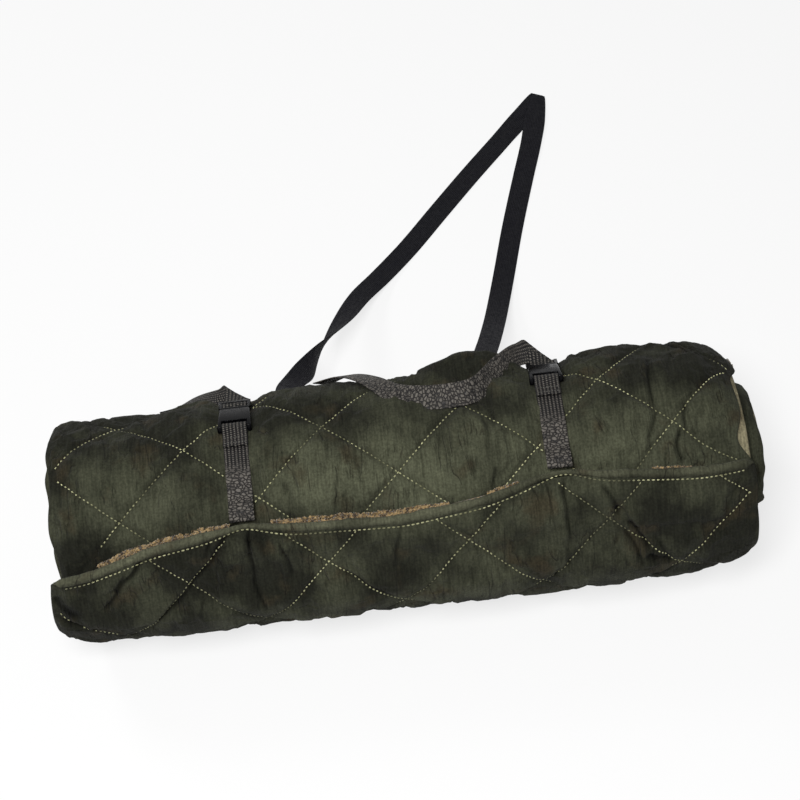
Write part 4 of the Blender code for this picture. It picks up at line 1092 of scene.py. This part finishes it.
def make_hem_stitches():
    """The hem's own line of stitches, below the rolled facing."""
    x = np.linspace(-HALF + 0.012, HALF - 0.012, 400)
    pulled = sum(hill(x, centre, 0.018) for centre, _ in STRAPS.values())
    line = hem_face(x, -0.0118 + 0.0055 * pulled, 0.0002)
    out = unit(line - np.stack([x, 0 * x, 0 * x + CENTRE_HEIGHT], axis=-1))
    stitches = sewn("hem_stitches", [(line, out)], (0.0018, *STITCH[1:]))


# Webbing


def smooth_path(stations, spacing):
    """Values at even steps along a smooth curve through stations; the first three columns are places."""
    values = np.asarray(stations, float)
    steps = np.linalg.norm(np.diff(values[:, :3], axis=0), axis=1)
    run = np.concatenate([[0], np.cumsum(steps)])
    slopes = np.diff(values, axis=0) / steps[:, None]
    weighed = slopes[:-1] * steps[1:, None] + slopes[1:] * steps[:-1, None]
    inner = weighed / (steps[1:] + steps[:-1])[:, None]
    tangents = np.concatenate([slopes[:1], inner, slopes[-1:]])
    dense = []
    for i, step in enumerate(steps):
        share = np.linspace(0, 1, max(3, int(step / spacing * 3)), endpoint=False)[:, None]
        square, cube = share**2, share**3
        dense.append(
            values[i] * (2 * cube - 3 * square + 1)
            + tangents[i] * step * (cube - 2 * square + share)
            + values[i + 1] * (3 * square - 2 * cube)
            + tangents[i + 1] * step * (cube - square)
        )
    dense = np.concatenate(dense + [values[-1:]])
    gone = np.concatenate([[0], np.cumsum(np.linalg.norm(np.diff(dense[:, :3], axis=0), axis=1))])
    even = np.linspace(0, gone[-1], max(3, int(gone[-1] / spacing) + 1))
    return np.stack([np.interp(even, gone, dense[:, i]) for i in range(dense.shape[1])], axis=1), even


def make_webbing(name, stations, material, body, nodes, spacing=0.0020, ribs=RIBS, pebbled=None):
    """Flat webbing with ribs along it, through stations of middle, direction across and normal."""
    path, even = smooth_path([[*middle, *across, *normal] for middle, across, normal in stations], spacing)
    per_rib, edge = 4, WEBBING * 0.3
    across = np.linspace(-0.5, 0.5, ribs * per_rib + 1) * (WEBBING_WIDTH - edge * 2)
    rise = RIB_HEIGHT * (np.abs(np.sin(np.pi * np.arange(len(across)) / per_rib)) - 0.5)
    turn = np.linspace(0, np.pi, 5)[1:-1]
    side = WEBBING_WIDTH / 2 - edge
    u = np.concatenate([across, side + edge * np.sin(turn), across[::-1], -side - edge * np.sin(turn)])
    top, rim = WEBBING / 2 + rise, WEBBING / 2 * np.cos(turn)
    h = np.concatenate([top, rim, -top[::-1], -rim])
    u, h = np.append(u, u[0]), np.append(h, h[0])
    along_uv = np.concatenate([across, side + turn * 0, across[::-1], -side + turn * 0])
    along_uv = np.append(along_uv, along_uv[0]) + WEBBING_WIDTH / 2
    middle, wide, normal = path[:, None, 0:3], path[:, None, 3:6], path[:, None, 6:9]
    points = middle + wide * u[None, :, None] + normal * h[None, :, None]
    uv = np.stack(np.broadcast_arrays(along_uv[None, :], even[:, None]), axis=-1)
    mesh = new_mesh(name, points, uv)
    share = smooth_step(*pebbled, even) if pebbled else 0 * even
    paint_attribute(mesh, "pebbled", share[:, None] + 0 * u[None, :])
    seal(mesh)
    piece = add_piece(name, mesh, material, body)
    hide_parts(*nodes)
    return piece


def with_neighbours(points):
    """Each point with the one before it and the one after it."""
    return zip(points, [points[0], *points[:-1]], [*points[1:], points[-1]])


def directions(angle):
    """At an angle on the roll: along it, round it towards the back, and outwards."""
    turned = math.radians(angle)
    back = Vector((0, math.sin(turned), math.cos(turned)))
    return Vector((1, 0, 0)), back, Vector((0, -math.cos(turned), math.sin(turned)))


def side_view_stations(points):
    """Stations of webbing that stays square to the roll, from its middle line."""
    stations = []
    across = Vector((1, 0, 0))
    for point, before, after in with_neighbours(points):
        along = (point - before).normalized() + (after - point).normalized()
        stations.append((point, across, across.cross(along).normalized()))
    return stations


def buckle_frame(side):
    """A buckle's frame on the roll: along X, along the strap towards the back, and outwards."""
    x, angle = STRAPS[side]
    right, back, outward = directions(angle)
    radius = float(face_radius(angle - 360)) - CINCH + GAP
    origin = Vector((x, 0, CENTRE_HEIGHT)) + outward * radius
    columns = Matrix((right, back, outward)).transposed()
    return Matrix.Translation(origin) @ columns.to_4x4()


def local_points(side, pairs):
    return [buckle_frame(side) @ Vector((0, along, height)) for along, height in pairs]


def make_tab(side):
    """From under the hem up to the socket's bar, round it, and back under itself to its cross stitches."""
    x, angle = STRAPS[side]
    hem = float(hem_angle(np.array([x]))[0]) - 360
    over_pile = -(FLAP_EASE + PILE + GAP * 2 + WEBBING / 2)
    lies = CINCH - GAP - WEBBING / 2
    start = [point_on_roll(x, hem + 0.6, over_pile), point_on_roll(x, hem + 5, over_pile)]
    on_turn = [point_on_roll(x, a, lies) for a in np.linspace(hem + TAB_LANDS, angle - TAB_LEAVES - 360, 5)]
    points = start + on_turn + local_points(side, TAB_RISE + LOOP_ROUTE)
    nodes = (f"tab_webbing_{side}", f"tab_loop_{side}")
    tab = make_webbing(
        f"tab_webbing_and_loop_{side}", side_view_stations(points), GREY_WEBBING, None, nodes,
        pebbled=PEBBLED_TABS,
    )
    buckle = buckle_frame(side)
    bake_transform(tab)
    rows = []
    for along, height in TAB_SEAMS:
        wide = np.linspace(-TAB_SEAM_HALF, TAB_SEAM_HALF, 9)
        line = np.array([buckle @ Vector((place, along, height)) for place in wide])
        rows.append((line, np.broadcast_to(np.array(buckle.col[2][:3]), line.shape)))
    seams = sewn(f"tab_stitches_{side}", rows, TAB_STITCH, TAB_STITCH_PITCH, DARK_THREAD, None)
    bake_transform(seams)


def tail_stations(points, tilts):
    """Stations along a folded free end: its underside faces out, its upper edge is tilted up."""
    stations = []
    tilts = [*tilts, *[0] * (len(points) - len(tilts))]
    for tilt, ((x, angle, height), (x0, angle0, _), (x1, angle1, _)) in zip(tilts, with_neighbours(points)):
        round_way = math.radians(angle1 - angle0) * float(face_radius(angle - 360))
        right, back, outward = directions(angle)
        across = outward.cross((right * (x1 - x0) + back * round_way).normalized())
        flat, up = math.cos(math.radians(tilt)), math.sin(math.radians(tilt))
        middle = point_on_roll(x, angle - 360, -height)
        stations.append((middle, across * flat - outward * up, -outward * flat - across * up))
    return stations


def fold_stations(side, landing):
    """The slantwise fold that turns the free end sideways."""
    _, angle, height = landing
    right, back, outward = directions(angle)
    tilt = math.radians(TAIL_TILTS[side][0])
    flat, up = math.cos(tilt), math.sin(tilt)
    back, outward = back * flat + outward * up, outward * flat - back * up
    under = 1 if side == "left" else -1
    apart = under * (WEBBING / 2 + GAP)
    crease = point_on_roll(STRAPS[side][0], angle - 360, -(height + apart))
    before = crease - back * TAIL_FOLD + outward * apart
    return [(before, right, outward), (crease, right - back, (right + back).normalized() * under)]


def make_closing_strap(side):
    """One length: sewn on at the back, up to the ladder bars, round them, and its folded free end."""
    lies = CINCH - GAP - WEBBING / 2
    angles = np.linspace(CINCH_TO, LADDER_LEAVES[side] - 360, 6)
    load = [point_on_roll(STRAPS[side][0], angle, lies) for angle in angles]
    stations = side_view_stations(load + local_points(side, LADDER_ROUTE))
    stations += fold_stations(side, TAILS[side][0]) + tail_stations(TAILS[side], TAIL_TILTS[side])
    make_webbing(
        f"closing_strap_{side}", stations, GREY_WEBBING, "rolled_sack",
        (f"cinch_webbing_{side}",), pebbled=PEBBLED_STRAPS[side],
    )


def leg_stations(points):
    """Stations of a leg of the shoulder strap, each turned about its own direction by some degrees."""
    stations = []
    for (*middle, turn), (x0, y0, z0, _), (x1, y1, z1, _) in with_neighbours(points):
        along = Vector((x1 - x0, y1 - y0, z1 - z0)).normalized()
        level = Vector((0, 0, 1)).cross(along).normalized()
        across = Matrix.Rotation(math.radians(turn), 3, along) @ level
        stations.append((Vector(middle), across, across.cross(along)))
    return stations


def foot_station(side, way):
    right, _, outward = directions(FOOT_FROM)
    return point_on_roll(FEET[side], FOOT_TO + 0.3, -GAP - WEBBING / 2), right * way, -outward


def make_shoulder_strap():
    out = Vector(FOLD_DIRECTION).normalized()
    peak = (Vector(FOLD), Vector((out.y, -out.x, 0)) * FOLD_GATHER, -out)
    stations = [foot_station("left", -1), *leg_stations(LEFT_LEG), peak]
    stations += [*leg_stations(RIGHT_LEG), foot_station("right", 1)]
    make_webbing(
        "shoulder_strap", stations, BLACK_WEBBING, "shoulder_strap", ("carry_strap",),
        spacing=0.004, ribs=5,
    )


# Hard pieces


def softened(node, material, slot, body, radius):
    """A copy of a solid with its edges rounded, which stands for it."""
    bm = bmesh.new()
    bm.from_mesh(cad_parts[node].data)
    bmesh.ops.remove_doubles(bm, verts=bm.verts, dist=1e-6)
    bmesh.ops.dissolve_limit(bm, angle_limit=math.radians(2), verts=bm.verts, edges=bm.edges)
    sharp = [e for e in bm.edges if len(e.link_faces) == 2 and e.calc_face_angle() > math.radians(30)]
    bmesh.ops.bevel(
        bm, geom=sharp, offset=radius, segments=2, affect="EDGES", profile=0.5, material=-1,
        clamp_overlap=True,
    )
    bmesh.ops.triangulate(bm, faces=bm.faces)
    piece = add_piece(f"{node}_rounded", mesh_from(bm, node), material, body, sharp=40)
    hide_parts(node)
    return piece


def make_hard_pieces():
    plastic = (BLACK_PLASTIC, "black_plastic")
    for side in STRAPS:
        softened(f"buckle_socket_{side}", *plastic, f"socket_{side}", 0.0007)
        softened(f"buckle_plug_{side}", *plastic, "rolled_sack", 0.00035)
        for letter in "ab":
            softened(f"buckle_prong_{side}_{letter}", *plastic, f"prong_{side}_{letter}", 0.0004)
        softened(f"carry_foot_{side}", BLACK_WEBBING, "black_webbing", "rolled_sack", 0.0005)
    softened("zip_slider", ZIP_METAL, "zip_metal", "rolled_sack", 0.0002)
    softened("zip_pull", ZIP_METAL, "zip_metal", "zip_pull", 0.0003)


def make_zip():
    """Tapes and coil halves along the right side of both panels."""
    last = FRONT_END - FRONT_HEM_WIDTH - 0.4
    space = PILE * 2 + GAP
    tape = space / 2 - COIL_SPLIT / 2 - COIL_WIDTH - GAP
    low, high = HALF - ZIP_MARGIN, HALF - COIL_INSET
    for name, top, seed in (("back", BACK_PILE, 41), ("front", BACK_PILE + space - tape, 43)):
        make_layer(
            f"zip_tape_{name}_woven", f"zip_tape_{name}", BEIGE_TAPE, "olive_facing", low, high, top, tape,
            ZIP_BOTTOM, last, seed, drawn=0.0,
        )
    for name in ("zip_coil_back", "zip_coil_front"):
        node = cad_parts[name]
        node.data.materials.clear()
        node.data.materials.append(ZIP_COIL)


make_shell()
make_inner_layers()
make_hem()
make_fringe()
make_stitches()
make_hem_stitches()
for strap_side in STRAPS:
    make_tab(strap_side)
    make_closing_strap(strap_side)
make_shoulder_strap()
make_hard_pieces()
make_zip()


# Stage

FLOOR_GLOW = 0.76
WORLD_LIGHT = 0.16

# Lamps: name, place, size and how bright the floor's middle is under it alone
LAMPS = (
    ("overhead_lamp", (-0.30, -0.85, 2.3), 0.7, 0.74),
    ("rear_left_lamp", (-1.5, 1.3, 1.9), 0.7, 0.12),
)


def seen_straight(tree):
    """1 where a camera, a mirror or a clear piece sees the surface, and 0 for its scattered light."""
    path = add(tree, "ShaderNodeLightPath").outputs
    seen = maths(tree, "MAXIMUM", path["Is Camera Ray"], path["Is Glossy Ray"])
    return maths(tree, "MAXIMUM", seen, path["Is Transmission Ray"])


def make_floor():
    bm = bmesh.new()
    bmesh.ops.create_grid(bm, x_segments=1, y_segments=1, size=6)
    bmesh.ops.translate(bm, verts=bm.verts, vec=(0, 0, -0.0004))
    constants = {"Roughness": 0.9, "Base Color": (0.96, 0.96, 0.96, 1), "Specular IOR Level": 0.0}
    material, tree, shader = new_material("pale_floor", constants)
    glow = add(tree, "ShaderNodeEmission", {"Color": (1, 1, 1, 1), "Strength": 1.0})
    share = maths(tree, "MULTIPLY", seen_straight(tree), FLOOR_GLOW)
    lit = add(tree, "ShaderNodeMixShader", {"Fac": share, 1: shader.outputs[0], 2: glow.outputs[0]})
    tree.links.new(lit.outputs[0], tree.nodes["Material Output"].inputs["Surface"])
    mesh = mesh_from(bm, "pale_floor")
    mesh.materials.append(material)
    floor = in_scene("pale_floor", mesh)


def make_world():
    world = bpy.data.worlds.new("studio")
    bpy.context.scene.world = world
    world.use_nodes = True
    tree = world.node_tree
    back = tree.nodes["Background"]
    back.inputs["Color"].default_value = (1, 1, 1, 1)
    sockets = {"Value": seen_straight(tree), "To Min": WORLD_LIGHT, "To Max": 1.0}
    tree.links.new(add(tree, "ShaderNodeMapRange", sockets).outputs[0], back.inputs["Strength"])


def make_lamps():
    for name, place, size, level in LAMPS:
        lamp = bpy.data.lights.new(name, "AREA")
        lamp.size = size
        away = Vector(place)
        facing = away.normalized().z
        lamp.energy = level * math.pi**2 * away.length_squared / facing
        made = in_scene(name, lamp)
        made.location = place
        made.rotation_euler = (-away).to_track_quat("-Z", "Y").to_euler()


def make_camera():
    lifted, rolled = math.radians(CAMERA_ABOVE), math.radians(CAMERA_ROLLED)
    look = Vector((0, math.cos(lifted), -math.sin(lifted)))
    level_up = Vector((0, math.sin(lifted), math.cos(lifted)))
    side = Vector((1, 0, 0))
    right = side * math.cos(rolled) - level_up * math.sin(rolled)
    up = side * math.sin(rolled) + level_up * math.cos(rolled)
    lens = bpy.data.cameras.new("camera")
    lens.lens = CAMERA_LENS
    lens.sensor_width = 36.0
    camera = in_scene("camera", lens)
    turned = Matrix((right, up, -look)).transposed().to_4x4()
    camera.matrix_world = Matrix.Translation(Vector(CAMERA_AIM) - look * CAMERA_AWAY) @ turned
    bpy.context.scene.camera = camera


make_floor()
make_world()
make_lamps()
make_camera()
bpy.context.scene.view_settings.view_transform = "Standard"
